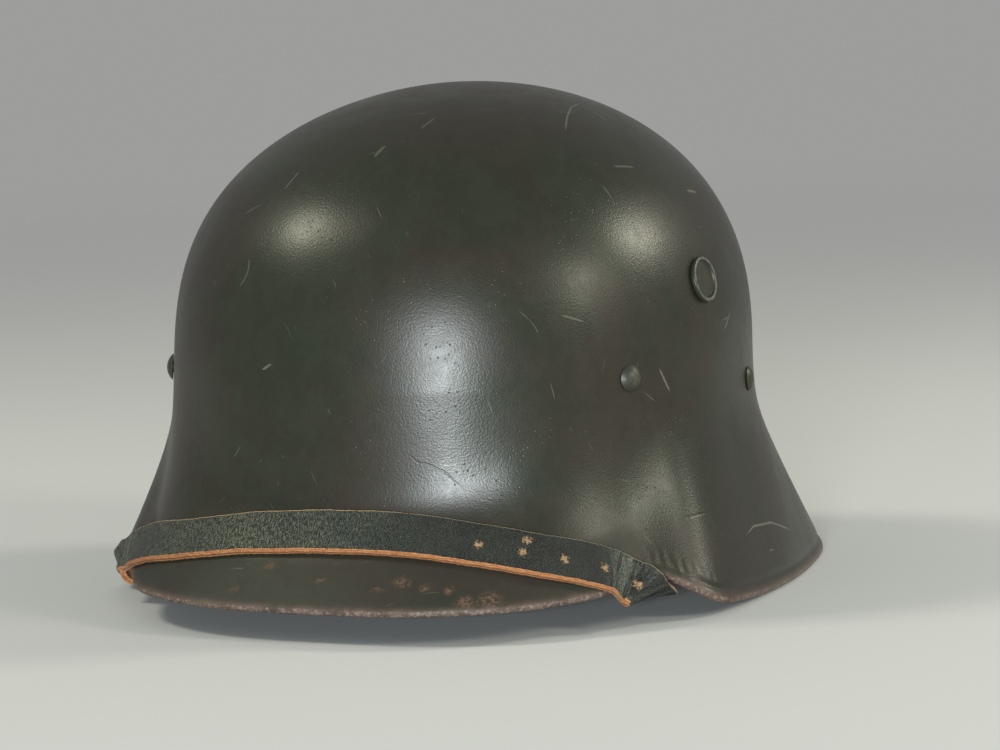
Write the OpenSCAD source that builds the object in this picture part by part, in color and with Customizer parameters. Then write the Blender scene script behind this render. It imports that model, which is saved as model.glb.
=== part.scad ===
// Steel civil defense helmet with a two-band sprung liner and a leather chin strap worn over the visor.
// Front of the helmet is -Y, the wearer's left is +X, and it stands on its rim at Z = 0.

/* [Bowl] */
// Half width of the bowl at the headband
bowl_half_w = 96; // [92:1:100]
// Length of the bowl ahead of its middle
bowl_front_l = 107; // [102:1:112]
// Length of the bowl behind its middle
bowl_rear_l = 107; // [102:1:112]
// Squareness of the bowl seen from above, 2 is an ellipse
plan_square = 2.12; // [2:0.02:2.3]
// Height of the crown above the table
crown_h = 172; // [166:1:180]
// Height at which the dome springs from the upright wall
spring_h = 78; // [74:1:82]
// Fullness of the dome's height, front
dome_rise_front = 2.8; // [2.4:0.1:3]
// Fullness of the dome's height, rear
dome_rise_rear = 2.3; // [2:0.1:2.8]
// Fullness of the dome's reach, front
dome_reach_front = 1.84; // [1.7:0.02:2]
// Fullness of the dome's reach, rear
dome_reach_rear = 2.12; // [1.9:0.02:2.3]
// How far the crown leans to the rear
crown_lean = 4; // [0:0.5:8]
// Thickness of the pressed steel sheet
sheet_t = 1.2; // [1:0.1:1.6]
// Radius of the rolled edge along the rim
bead_r = 1.5; // [1.2:0.1:1.8]

/* [Skirt slope] */
// Slope of the visor from upright, in front
slope_front = 43; // [38:1:48]
// Slope at the side of the visor
slope_visor_side = 52; // [46:1:56]
// Slope in the notch behind the visor
slope_notch = 41; // [36:1:44]
// Slope of the front of the ear flap
slope_flap_front = 22.5; // [18:0.5:27]
// Slope of the ear flap over the ear
slope_flap = 17.5; // [14:0.5:21]
// Slope behind the ear
slope_flap_rear = 19; // [16:0.5:23]
// Slope at the corner of the neck guard
slope_neck_side = 30; // [26:1:34]
// Slope of the neck guard, at the rear
slope_neck = 31; // [26:1:36]

/* [Skirt crease height] */
// Height of the crease where the visor begins, in front
crease_front = 38.5; // [35:0.5:42]
// Height of the crease at the side of the visor
crease_visor_side = 32.5; // [29:0.5:36]
// Height of the crease in the notch
crease_notch = 27; // [24:0.5:30]
// Height at which the front of the flap begins to flare
crease_flap_front = 64; // [60:0.5:68]
// Height at which the flap begins to flare
crease_flap = 58; // [54:0.5:62]
// Height at which the rear of the flap begins to flare
crease_flap_rear = 57.5; // [54:0.5:62]
// Height at which the neck guard's corner begins to flare
crease_neck_side = 62; // [58:0.5:66]
// Height at which the neck guard begins to flare
crease_neck = 68; // [64:0.5:72]
// Softness of the visor's crease, in front
soft_front = 2.7; // [2:0.1:4]
// Softness of the crease at the side of the visor
soft_visor_side = 6.3; // [5:0.1:8]
// Softness of the crease in the notch
soft_notch = 17; // [14:0.5:19]
// Softness of the bend along the flaps
soft_flap = 6.3; // [5:0.1:8]
// Softness of the bend at the neck
soft_neck = 6.3; // [5:0.1:8]

/* [Rim height] */
// Height of the visor's rim, in front
rim_front = 9.3; // [6:0.1:12]
// Height of the rim at the side of the visor
rim_visor_side = 11; // [8:0.1:14]
// Height of the rim at the top of the notch
rim_notch = 14.2; // [12:0.1:17]
// Height of the rim at the flap's front corner
rim_corner = 4.6; // [3:0.1:7]
// Height of the rim just behind the flap's corner
rim_flap_front = 2.1; // [1:0.1:3.4]
// Height of the rim under the ear
rim_flap = 0.8; // [0.2:0.1:1.6]

/* [Shell fittings] */
// Azimuth of the front liner pins, from straight ahead
pin_azimuth = 57.1; // [54:0.1:60]
// Height of the liner pins
pin_z = 78.6; // [77:0.1:81]
// Radius of a liner pin's head
pin_head_r = 4.5; // [4:0.1:5]
// Height of a liner pin's domed head
pin_head_h = 2; // [1.5:0.1:2.5]
// Radius of a liner pin's shank
pin_shank_r = 2; // [1.6:0.1:2.4]
// Length of a liner pin's bent legs
pin_leg_l = 7; // [5:0.5:8]
// Azimuth of the ventilation bushings
vent_azimuth = 82.1; // [79:0.1:85]
// Height of the ventilation bushings
vent_z = 106.7; // [104:0.1:110]
// Outer radius of a bushing's flange
vent_r = 7.8; // [7:0.1:8.4]
// Width of the raised ring round a bushing's face
vent_ring_w = 1.5; // [1:0.1:2]
// Height of a bushing above the shell
vent_h = 1.8; // [1.2:0.1:2.2]
// Azimuth of the chin strap rivets
side_azimuth = 106; // [104:0.5:108]
// Height of the chin strap rivets
side_z = 68.7; // [67:0.1:70]
// Radius of a chin strap rivet's head
side_head_r = 4.2; // [3.6:0.1:4.6]

/* [Liner] */
// Height of the liner's steel bands
band_h = 18; // [15:0.5:19]
// Distance from the pins down to the bands' lower edge
band_edge = 5; // [4.6:0.1:5.4]
// Thickness of the liner's steel bands
band_t = 0.8; // [0.6:0.1:1]
// Room between the outer and the inner band
spring_gap = 9; // [8:0.5:10]
// Thickness of a band spring
spring_t = 0.6; // [0.4:0.1:0.8]
// Height of a band spring
spring_h_strip = 9; // [7:0.5:11]
// Half length of a band spring's flat crest
spring_crest = 5; // [4:0.5:6]
// Length of a band spring's foot
spring_foot = 6; // [5:0.5:7]
// Run of a band spring's slope
spring_run = 6; // [5:0.5:7]
// Radius of the small rivets in the bands
small_rivet_r = 1; // [0.8:0.1:1.2]
// Thickness of the felt strip behind the leather
felt_t = 2; // [1.5:0.1:2.5]
// Height of the felt strip
felt_h = 14; // [12:0.5:16]
// Thickness of the liner leather
leather_t = 1.3; // [1:0.1:1.6]
// How far the leather hangs below the bands
leather_drop = 7; // [5:0.5:8]
// Height of the leather band above its lower edge
leather_h = 30; // [26:1:32]
// Number of leather tongues
tongues = 8; // [6:1:10]
// Depth of the tongues' tips below the crown
tongue_drop = 22; // [18:1:28]
// Distance of a tongue's tip from the middle
tongue_tip_r = 17; // [14:1:20]
// Gap between neighbouring tongues at their root
tongue_gap = 3; // [2:0.5:4]
// Radius of the lace hole in a tongue
lace_hole_r = 2.1; // [2:0.1:2.4]
// Radius of the lacing cord
lace_r = 0.8; // [0.6:0.1:1]

/* [Chin strap] */
// Width of the leather strap
strap_w = 15.5; // [14:0.5:16]
// Thickness of the leather strap
strap_t = 2.2; // [1.8:0.1:2.4]
// Height of the strap's middle line, in front
strap_z_front = 33; // [32:0.1:34.5]
// Azimuth at which the strap goes under the rim
strap_turn_azimuth = 52.4; // [51:0.1:53.5]
// Inner radius of the strap's turn under the rim
strap_turn_r = 2.5; // [2.3:0.1:3.2]
// Radius of a buckle hole
strap_hole_r = 1.8; // [1.7:0.1:2]
// Distance between the buckle holes
strap_hole_pitch = 14; // [12:0.5:16]

/* [Bails and buckle] */
// Radius of the bail's wire
bail_r = 1.25; // [1:0.05:1.5]
// Clear width inside a bail
bail_w = 17.2; // [17:0.1:18.5]
// Length of a bail from its hinge to its far bar
bail_l = 11; // [10:0.5:12]
// Distance from the side rivet to the bail's hinge
bracket_l = 12; // [11:0.5:13]
// Thickness of the bracket plate
bracket_t = 1; // [0.8:0.1:1.2]
// Width of the bracket plate
bracket_w = 9; // [8:0.2:9.4]
// Direction of the strap's pull at the bracket, from straight down
pull_angle = 64; // [60:0.5:68]
// Inward lean of the bail at rest
bail_lean = 21; // [19:0.5:23]
// Length of the short strap, from the bail's bar to the buckle's bar
short_strap_l = 34; // [32:0.5:36]
// Radius of the buckle's wire
buckle_r = 1.2; // [1:0.05:1.4]
// Length of the buckle between its bars
buckle_l = 16; // [15:0.5:17]
// Radius of the roller on the buckle
roller_r = 2.1; // [1.9:0.05:2.3]
// Radius of the buckle's prong
prong_r = 0.85; // [0.7:0.05:0.9]
// Distance from the bail's bar to the keeper
keeper_x = 20; // [18:0.5:22]
// Length of the keeper along the strap
keeper_l = 7; // [6:0.5:8]
// Thickness of the keeper's leather
keeper_t = 1.6; // [1.2:0.1:2]

/* [Hidden] */
$fn = 48;

// Running clearance of a pin in its bore
pin_play = 0.06;
// Gap between seated pieces
seat = 0.3;
// Gap between a rivet's head and what it holds
close_seat = 0.1;
// Room in a large rivet's hole
rivet_play = 0.2;
// Room in a small rivet's hole
small_play = 0.05;
// Room between the bail's bar and the strap looped round it
loop_play = 0.9;
// Thickness of the washers under the liner pins' legs
washer_t = 0.8;
// Radius of those washers
washer_r = 4.6;
// Radius of a chin strap rivet's shank
side_shank_r = 2;
// How far a shank runs up into its head
shank_bite = 0.5;
// Length of a cutter through one sheet, and of one through the folded strap
sheet_cut = 8;
fold_cut = 12;
// How far a cutter runs past what it cuts
past = 1;

// Azimuths of the skirt's stations, with its slope, crease, softness and rim height at each
slope_at = [0, 30, 52, 68, 90, 115, 145, 180];
slopes = [for (a = [slope_front, slope_visor_side, slope_notch, slope_flap_front, slope_flap,
    slope_flap_rear, slope_neck_side, slope_neck]) tan(a)];
creases = [crease_front, crease_visor_side, crease_notch, crease_flap_front, crease_flap,
    crease_flap_rear, crease_neck_side, crease_neck];
soft_at = [0, 25, 50, 75, 180];
softs = [soft_front, soft_visor_side, soft_notch, soft_flap, soft_neck];
rim_at = [0, 25, 45, 56, 66, 76, 90, 110, 145, 180];
rims = [rim_front, rim_front + (rim_visor_side - rim_front) / 4, rim_visor_side, rim_notch, rim_corner,
    rim_flap_front, rim_flap, rim_flap / 4, rim_flap / 8, 0];

function unit(v) = v / norm(v);
function mix(a, b, t) = a + (b - a) * t;

// Smooth curve through the values at the stations, level at both ends
function curve_slope(at, v, i) = i == 0 || i == len(at) - 1 ? 0
    : (v[i + 1] - v[i - 1]) / (at[i + 1] - at[i - 1]);
function curve_span(at, a) = max([for (j = [0 : len(at) - 2]) if (a >= at[j]) j]);
function along(at, v, a) = let (
    i = curve_span(at, a),
    w = at[i + 1] - at[i],
    t = (a - at[i]) / w)
    v[i] * (1 + 2 * t) * (1 - t) * (1 - t) + curve_slope(at, v, i) * w * t * (1 - t) * (1 - t)
    + v[i + 1] * t * t * (3 - 2 * t) + curve_slope(at, v, i + 1) * w * t * t * (t - 1);
function fold_back(phi) = let (a = abs(phi) % 360) a > 180 ? 360 - a : a;

// The shell at one azimuth: [radius, slope, crease, softness, dome rise, dome reach, rim height, azimuth]
function plan_r(phi) = pow(pow(abs(sin(phi)) / bowl_half_w, plan_square)
    + pow(abs(cos(phi)) / (cos(phi) > 0 ? bowl_front_l : bowl_rear_l), plan_square), -1 / plan_square);
function section(phi) = let (a = fold_back(phi), m = (1 - cos(phi)) / 2) [
    plan_r(phi), along(slope_at, slopes, a), along(slope_at, creases, a), along(soft_at, softs, a),
    mix(dome_rise_front, dome_rise_rear, m), mix(dome_reach_front, dome_reach_rear, m),
    along(rim_at, rims, a), phi];
function soft_step(x) = x > 30 ? x : ln(1 + exp(x));
function dome_part(z) = max(0, min(1, (z - spring_h) / (crown_h - spring_h)));
function flare(s, z) = s[1] * s[3] * soft_step((s[2] - z) / s[3]);
function wall_r(s, z) = let (a = acos(pow(dome_part(z), s[4] / 2)))
    s[0] * (z > spring_h ? pow(sin(a), 2 / s[5]) : 1) + flare(s, z);
// The point at a radius and height round the head, over the leaning crown's own middle
function about_head(phi, r, z) = [r * sin(phi), -r * cos(phi) + crown_lean * dome_part(z) - middle_y, z];
function place(s, r, z) = about_head(s[7], r, z);
function skin_of(s, z) = place(s, wall_r(s, z), z);
function skin(phi, z) = skin_of(section(phi), z);

// Outward direction square to the skin
step_a = 0.05;
step_z = 0.05;
function outward_of(s0, s1, z) = unit(cross(skin_of(s0, z - step_z) - skin_of(s0, z + step_z),
    skin_of(s1, z) - skin_of(s0, z)));
function outward(phi, z) = outward_of(section(phi), section(phi + step_a), z);
// The same, level
function level_of(s0, s1, z) = let (n = outward_of(s0, s1, z)) unit([n[0], n[1], 0]);
function under_skin(phi, z, depth) = let (s = section(phi), near = section(phi + step_a))
    skin_of(s, z) - level_of(s, near, z) * depth;

// The rolled edge: its centre, and its points turned from where the skin runs into it
function edge_slope(s) = atan((wall_r(s, s[6] + bead_r) - wall_r(s, s[6] + 2 * bead_r)) / bead_r);
function edge_z(s) = s[6] + bead_r * (1 + sin(edge_slope(s)));
function edge_centre(s) = [wall_r(s, edge_z(s)) - bead_r * cos(edge_slope(s)), s[6] + bead_r];
function edge_point(s, turn) = let (a = turn - edge_slope(s), c = edge_centre(s))
    place(s, c[0] + bead_r * cos(a), c[1] - bead_r * sin(a));
function rim_reach(phi) = let (s = section(phi)) edge_centre(s)[0] + bead_r;
middle_y = (rim_reach(180) - rim_reach(0)) / 2;

// Places a piece on the skin: its own Z points outward and its own X runs down the wall
module on_skin(phi, z) {
    n = outward(phi, z);
    translate(skin(phi, z)) rotate([0, acos(n[2]), atan2(n[1], n[0])]) children();
}
module both_sides() {
    children();
    mirror([1, 0, 0]) children();
}
// A cylinder along Z between two heights
module post(r, low, high) translate([0, 0, low]) cylinder(r = r, h = high - low);

// Faces of a solid swept through rings of n points, each ring counter-clockwise seen from the next one
function side_faces(rings, n, looped) = [for (i = [0 : rings - (looped ? 1 : 2)], j = [0 : n - 1])
    let (a = i * n, b = (i + 1) % rings * n, k = (j + 1) % n)
    each [[a + j, b + j, b + k], [a + j, b + k, a + k]]];
function end_faces(rings, n) = [
    [for (j = [0 : n - 1]) j],
    [for (j = [n - 1 : -1 : 0]) (rings - 1) * n + j]];
module swept(rings, looped) {
    n = len(rings[0]);
    sides = side_faces(len(rings), n, looped);
    polyhedron([for (r = rings) each r], concat(sides, looped ? [] : end_faces(len(rings), n)),
        convexity = 10);
}

// Azimuths of the facets, closer together round the notch
notch_from = 40;
notch_to = 80;
fine_turn = 4;
coarse_turn = 20 / 3;
half_turns = concat([for (a = [0 : coarse_turn : notch_from - 1]) a],
    [for (a = [notch_from : fine_turn : notch_to - 1]) a],
    [for (a = [notch_to : coarse_turn : 179]) a]);
azimuths = concat(half_turns, [180], [for (i = [len(half_turns) - 1 : -1 : 1]) -half_turns[i]]);

// Shell: one meridian runs from the crown down the outside, round the rolled edge and up the inside
dome_rows = 11;
skirt_rows = 17;
inner_dome_rows = 9;
inner_skirt_rows = 13;
bead_steps = 7;
bead_end = 360 - acos((bead_r - sheet_t) / bead_r);
// Height above the rim at which the inner skin leaves the rolled edge
inner_start = 3.2 * bead_r;
function dome_turn(i, rows) = 1 - pow(1 - i / rows, 1.6);
function dome_point(s, t) = let (z = spring_h + (crown_h - spring_h) * pow(cos(90 * t), 2 / s[4]))
    place(s, s[0] * pow(sin(90 * t), 2 / s[5]) + flare(s, z), z);
function dome_outward(s0, s1, t) = unit(cross(dome_point(s0, t + 0.002) - dome_point(s0, t - 0.002),
    dome_point(s1, t) - dome_point(s0, t)));
function meridian(phi) = let (s = section(phi), near = section(phi + step_a)) concat(
    [for (i = [1 : dome_rows - 1]) dome_point(s, dome_turn(i, dome_rows))],
    [for (i = [0 : skirt_rows]) skin_of(s, mix(spring_h, edge_z(s), i / skirt_rows))],
    [for (i = [1 : bead_steps]) edge_point(s, bead_end * i / bead_steps)],
    [for (i = [0 : inner_skirt_rows])
        let (z = mix(s[6] + inner_start, spring_h, i / inner_skirt_rows))
        skin_of(s, z) - outward_of(s, near, z) * sheet_t],
    [for (i = [inner_dome_rows - 1 : -1 : 1])
        let (t = dome_turn(i, inner_dome_rows))
        dome_point(s, t) - dome_outward(s, near, t) * sheet_t]);
module bowl() {
    rings = [for (phi = azimuths) meridian(phi)];
    count = len(rings);
    n = len(rings[0]);
    crown = [0, crown_lean - middle_y, crown_h];
    quads = [for (i = [0 : count - 1], j = [0 : n - 2])
        let (a = i * n + j, b = (i + 1) % count * n + j)
        each [[a, b, b + 1], [a, b + 1, a + 1]]];
    caps = [for (i = [0 : count - 1])
        let (a = i * n, b = (i + 1) % count * n)
        each [[count * n, b, a], [a + n - 1, b + n - 1, count * n + 1]]];
    points = concat([for (r = rings) each r], [crown, crown - [0, 0, sheet_t]]);
    polyhedron(points, concat(quads, caps), convexity = 10);
}
pin_places = [[pin_azimuth, pin_z], [-pin_azimuth, pin_z], [180, pin_z]];
vent_shank_r = vent_r - 2.3;
module drilled(r) cylinder(r = r, h = sheet_cut, center = true);
module shell() color([0.22, 0.23, 0.18]) difference() {
    bowl();
    for (p = pin_places) on_skin(p[0], p[1]) drilled(pin_shank_r + rivet_play);
    for (side = [-1, 1]) {
        on_skin(side * vent_azimuth, vent_z) drilled(vent_shank_r + small_play);
        on_skin(side * side_azimuth, side_z) drilled(side_shank_r + rivet_play);
    }
}

// Ventilation bushing: a ringed face outside, a shank through the sheet and a collar inside
vent_recess = 0.9;
vent_collar_r = vent_r - 1.2;
vent_collar_t = 0.8;
// Room under the flat collar, because the sheet curves away from its middle
vent_collar_gap = 0.8;
// Bevel of the ring, on its outer and on its inner side
vent_bevel = [0.4, 0.5];
vent_inner_bevel = 0.3;
module vent_bushing() {
    collar_top = -sheet_t - vent_collar_gap;
    collar_low = collar_top - vent_collar_t;
    face = vent_h - vent_recess;
    rotate_extrude() polygon([
        [0, collar_low], [vent_collar_r, collar_low], [vent_collar_r, collar_top],
        [vent_shank_r, collar_top], [vent_shank_r, seat], [vent_r, seat],
        [vent_r, vent_h - vent_bevel[1]], [vent_r - vent_bevel[0], vent_h],
        [vent_r - vent_ring_w + vent_inner_bevel, vent_h], [vent_r - vent_ring_w, face], [0, face]]);
}
module vent_bushing_left() color([0.27, 0.26, 0.22]) on_skin(vent_azimuth, vent_z) vent_bushing();
module vent_bushing_right() color([0.27, 0.26, 0.22]) on_skin(-vent_azimuth, vent_z) vent_bushing();

// A domed head standing on its own flat face
module domed_head(r, h) {
    ball = (r * r + h * h) / (2 * h);
    intersection() {
        translate([0, 0, h - ball]) sphere(r = ball);
        cylinder(r = r, h = h);
    }
}

// Depths below the outer skin at which the parts of the liner lie
band_out = sheet_t + seat;
band_in = band_out + band_t;
inner_out = band_in + spring_gap;
inner_in = inner_out + band_t;
felt_out = inner_in + seat / 2;
felt_in = felt_out + felt_t;
leather_out = felt_in + seat;
leather_in = leather_out + leather_t;
band_low = pin_z - band_edge;
band_mid = band_low + band_h / 2;

// Split pins: domed head outside, shank through shell and band, two legs bent over the washer
head_seat = 0.35;
washer_low = band_in + seat + washer_t;
leg_t = 0.9;
leg_w = 1.4 * pin_shank_r;
module liner_pin() {
    low = -washer_low - leg_t;
    translate([0, 0, head_seat]) domed_head(pin_head_r, pin_head_h);
    post(pin_shank_r, low, head_seat + shank_bite);
    for (y = [-pin_leg_l, 0]) translate([-leg_w / 2, y, low]) cube([leg_w, pin_leg_l, leg_t - close_seat]);
}
module at_pins() for (p = pin_places) on_skin(p[0], p[1]) children();
module liner_pins() color([0.35, 0.34, 0.3]) at_pins() liner_pin();
module liner_pin_washers() color([0.55, 0.55, 0.53]) at_pins() difference() {
    post(washer_r, close_seat - washer_low, washer_t - washer_low);
    post(pin_shank_r + rivet_play, -washer_low - past, washer_t - washer_low + past);
}

// A strip of even thickness that follows the inside of the shell all the way round
strip_rows = 3;
function strip_ring(phi, z0, z1, outer, inner, rows) = let (
    levels = [for (i = [0 : rows]) mix(z1, z0, i / rows)])
    concat([for (z = levels) under_skin(phi, z, outer)],
        [for (i = [rows : -1 : 0]) under_skin(phi, levels[i], inner)]);
module strip(z0, z1, outer, inner, rows)
    swept([for (phi = azimuths) strip_ring(phi, z0, z1, outer, inner, rows)], true);

// Springs: hat-shaped leaves between the two bands, clear of the pins
spring_azimuths = [20, 84, 125, 160];
spring_turn = 180 / PI / (bowl_half_w - band_in);
spring_crest_a = spring_crest * spring_turn;
spring_run_a = (spring_crest + spring_run) * spring_turn;
spring_foot_a = (spring_crest + spring_run + spring_foot) * spring_turn;
spring_foot_mid = (spring_foot_a + spring_run_a) / 2;
spring_seat = 0.5;
// How far a spring has bent off its band just past its foot or its crest
spring_ease = 0.3;
foot_depth = band_in + spring_seat + spring_t / 2;
crest_depth = inner_out - spring_seat - spring_t / 2;
function plan_point(phi, depth) = let (p = under_skin(phi, band_mid, depth)) [p[0], p[1]];
function left_of(a, b) = let (d = unit(b - a)) [-d[1], d[0]];
function ribbon_side(path, t) = [for (i = [0 : len(path) - 1])
    let (a = path[max(0, i - 1)], b = path[min(len(path) - 1, i + 1)]) path[i] + left_of(a, b) * t / 2];
function backwards(path) = [for (i = [len(path) - 1 : -1 : 0]) path[i]];
function ribbon(path, t) = concat(ribbon_side(path, t), ribbon_side(backwards(path), t));
// Half a spring as turns from its middle and depths, from the crest out to the end of the foot
spring_half = [[spring_crest_a, crest_depth], [1.15 * spring_crest_a, crest_depth - spring_ease],
    [0.9 * spring_run_a, foot_depth + spring_ease], [spring_run_a, foot_depth],
    [spring_foot_mid, foot_depth], [spring_foot_a, foot_depth]];
spring_line = concat([for (p = backwards(spring_half)) [-p[0], p[1]]], [[0, crest_depth]], spring_half);
module at_springs() for (side = [-1, 1], phi = spring_azimuths) on_skin(side * phi, band_mid) children();
module at_feet() for (side = [-1, 1], phi = spring_azimuths, a = [-spring_foot_mid, spring_foot_mid])
    on_skin(side * (phi + a), band_mid) children();
module band_springs() color([0.5, 0.5, 0.48]) difference() {
    for (side = [-1, 1], phi = spring_azimuths) translate([0, 0, band_mid - spring_h_strip / 2])
        linear_extrude(spring_h_strip)
            polygon(ribbon([for (p = spring_line) plan_point(side * phi + p[0], p[1])], spring_t));
    at_feet() post(small_rivet_r + small_play, -inner_in - past, past - band_out);
    at_springs() post(small_rivet_r + small_play, -inner_in - past, past - band_out);
}
small_head_r = 2 * small_rivet_r;
small_head_t = 0.8;
module band_rivets() color([0.6, 0.6, 0.58]) {
    foot_face = -foot_depth - spring_t / 2;
    crest_face = -crest_depth + spring_t / 2;
    at_feet() {
        post(small_head_r, foot_face - close_seat - small_head_t, foot_face - close_seat);
        post(small_rivet_r, foot_face - shank_bite, -band_out);
    }
    at_springs() {
        post(small_head_r, crest_face + close_seat, crest_face + close_seat + small_head_t);
        post(small_rivet_r, -inner_in, crest_face + shank_bite);
    }
}

// Length of the pins' cutter through the outer band, from the skin inward
pin_cut = 6;
module outer_band() color([0.58, 0.58, 0.56]) difference() {
    strip(band_low, band_low + band_h, band_out, band_in, strip_rows);
    at_pins() post(pin_shank_r + rivet_play, -pin_cut, 0);
    at_feet() post(small_rivet_r + small_play, -band_in - past, 0);
}

// Rivets that hold the leather to the inner band, between the springs
leather_rivet_azimuths = [38, 66, 104, 143];
leather_rivet_z = band_low + 4;
leather_rivet_r = 1.2;
leather_rivet_play = 0.1;
leather_head_r = 2.6;
leather_head_t = 0.8;
leather_head_seat = 0.5;
module at_leather_rivets() for (side = [-1, 1], phi = leather_rivet_azimuths)
    on_skin(side * phi, leather_rivet_z) children();
module leather_rivet_bores() at_leather_rivets()
    post(leather_rivet_r + leather_rivet_play, -leather_in - 2 * past, 2 * past - inner_out);
module inner_band() color([0.58, 0.58, 0.56]) difference() {
    strip(band_low, band_low + band_h, inner_out, inner_in, strip_rows - 1);
    at_springs() post(small_rivet_r + small_play, -inner_in - past, past - inner_out);
    leather_rivet_bores();
}
// How far the felt's lower edge stands above the band's
felt_inset = 1;
module felt_strip() color([0.45, 0.43, 0.38]) difference() {
    strip(band_low + felt_inset, band_low + felt_inset + felt_h, felt_out, felt_in, 1);
    leather_rivet_bores();
}
module leather_rivets() color([0.5, 0.48, 0.42]) at_leather_rivets() {
    face = -leather_in - leather_head_seat;
    post(leather_head_r, face - leather_head_t, face);
    post(leather_rivet_r, face - shank_bite, -inner_out - close_seat);
}

// Leather liner: a band with tongues that lean in towards the crown, each a grid of columns and rows
leather_low = band_low - leather_drop;
leather_top = leather_low + leather_h;
tongue_top = crown_h - tongue_drop;
ring_rows = 5;
tongue_rows = 7;
tongue_cols = 6;
half_pitch = 180 / tongues;
function leather_r(phi) = wall_r(section(phi), leather_top) - leather_out;
function arch(phi, u) = [mix(tongue_tip_r, leather_r(phi), pow(cos(90 * u), 0.9)),
    mix(leather_top, tongue_top, sin(90 * u))];
// Half a tongue's width as an angle, with its tip rounded off over the last part
function tongue_half(phi, u) = let (r = arch(phi, u)[0], tip = max(0, (u - 0.85) / 0.15))
    asin((r * sin(half_pitch) - tongue_gap / 2) * sqrt(1 - 0.6 * tip * tip) / r);
function leather_column(k, c, depth) = let (
    mid = (2 * k + 1) * half_pitch,
    f = 2 * c / (tongue_cols - 1) - 1)
    concat(
        [for (i = [0 : ring_rows - 1])
            let (z = mix(leather_low, leather_top, i / ring_rows))
            under_skin(mid + f * tongue_half(mid, 0), z, leather_out + depth)],
        [for (i = [0 : tongue_rows])
            let (u = i / tongue_rows,
                phi = mid + f * tongue_half(mid, u),
                a = arch(phi, u),
                d = unit(arch(phi, min(1, u + 0.01)) - arch(phi, u - 0.01)))
            about_head(phi, a[0] - d[1] * depth, a[1] + d[0] * depth)]);
function split_quad(a, b, c, d) = [[a, b, c], [a, c, d]];
module leather_body() {
    rows = ring_rows + tongue_rows + 1;
    cols = tongues * tongue_cols;
    points = [for (depth = [0, leather_t], k = [0 : tongues - 1], c = [0 : tongue_cols - 1])
        each leather_column(k, c, depth)];
    inner = cols * rows;
    faces = [for (c = [0 : cols - 1]) let (
        a = c * rows,
        b = (c + 1) % cols * rows,
        gap = c % tongue_cols == tongue_cols - 1,
        top = gap ? ring_rows : rows - 1)
        each concat(
            [for (r = [0 : top - 1]) each split_quad(a + r, a + r + 1, b + r + 1, b + r)],
            [for (r = [0 : top - 1])
                each split_quad(inner + a + r, inner + b + r, inner + b + r + 1, inner + a + r + 1)],
            split_quad(a, b, inner + b, inner + a),
            split_quad(a + top, inner + a + top, inner + b + top, b + top),
            gap ? [for (r = [ring_rows : rows - 2])
                each split_quad(a + r, a + r + 1, inner + a + r + 1, inner + a + r)] : [],
            gap ? [for (r = [ring_rows : rows - 2])
                each split_quad(b + r, inner + b + r, inner + b + r + 1, b + r + 1)] : [])];
    polyhedron(points, faces, convexity = 10);
}
// The lace holes' place along a tongue, as a share of its length
lace_u = 0.93;
lace_ring_r = arch(0, lace_u)[0];
lace_z = arch(0, lace_u)[1] - leather_t / 2;
module leather_liner() color([0.4, 0.27, 0.17]) difference() {
    leather_body();
    leather_rivet_bores();
    translate(about_head(0, 0, tongue_top)) for (k = [0 : tongues - 1])
        rotate([0, 0, (2 * k + 1) * half_pitch]) translate([0, -lace_ring_r, 0])
            cylinder(r = lace_hole_r, h = 2 * sheet_cut, center = true);
}

// Lacing cord: passes down through one tongue's hole and up through the next
lace_steps = 96;
lace_sides = 6;
lace_play = 0.6;
lace_rise = leather_t / 2 + lace_r + lace_play;
function lace_mid(a) = [lace_ring_r * sin(a),
    -lace_ring_r * cos(a) + crown_lean * dome_part(lace_z) - middle_y,
    lace_z + lace_rise * max(-1, min(1, 4 * sin((a - half_pitch) * tongues / 2)))];
function tube_ring(mid, ahead, r, sides) = let (
    t = unit(ahead),
    out = unit(cross(t, [0, 0, 1])),
    up = cross(out, t))
    [for (j = [0 : sides - 1]) let (q = 360 * j / sides) mid + (up * cos(q) + out * sin(q)) * r];
module liner_lacing() color([0.7, 0.66, 0.55])
    swept([for (i = [0 : lace_steps - 1]) let (a = 360 * i / lace_steps)
        tube_ring(lace_mid(a), lace_mid(a + 1) - lace_mid(a - 1), lace_r, lace_sides)], true);

// Side rivets: domed head outside, shank through the shell and the bail's bracket, flat head inside
bracket_depth = sheet_t + 1;
side_head_h = 1.7;
inner_head_r = side_shank_r + 1.4;
inner_head_t = 0.9;
module side_rivets() color([0.35, 0.34, 0.3]) both_sides() on_skin(side_azimuth, side_z) {
    face = -bracket_depth - bracket_t - close_seat;
    translate([0, 0, head_seat]) domed_head(side_head_r, side_head_h);
    post(side_shank_r, face - rivet_play, head_seat + shank_bite);
    post(inner_head_r, face - inner_head_t, face);
}

// Axes of the left bail: X along the strap's pull, Y along the hinge, Z away from the head
side_n = outward(side_azimuth, side_z);
side_level = norm([side_n[0], side_n[1]]);
side_down = [side_n[2] * side_n[0] / side_level, side_n[2] * side_n[1] / side_level, -side_level];
side_rear = [-side_n[1], side_n[0], 0] / side_level;
pull_x = side_down * cos(pull_angle) - side_rear * sin(pull_angle);
pull_y = side_down * sin(pull_angle) + side_rear * cos(pull_angle);
barrel_r = bail_r + 0.95;
barrel_l = bail_w - 3.6;
hinge_depth = bracket_depth + barrel_r;
rivet_at = skin(side_azimuth, side_z);
hinge_at = rivet_at + pull_x * bracket_l - side_n * hinge_depth;
module placed(x, y, z, at)
    multmatrix([[x[0], y[0], z[0], at[0]], [x[1], y[1], z[1], at[1]], [x[2], y[2], z[2], at[2]]])
        children();
// A cylinder along Y, centred
module axle(r, l) rotate([90, 0, 0]) cylinder(r = r, h = l, center = true);

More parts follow.
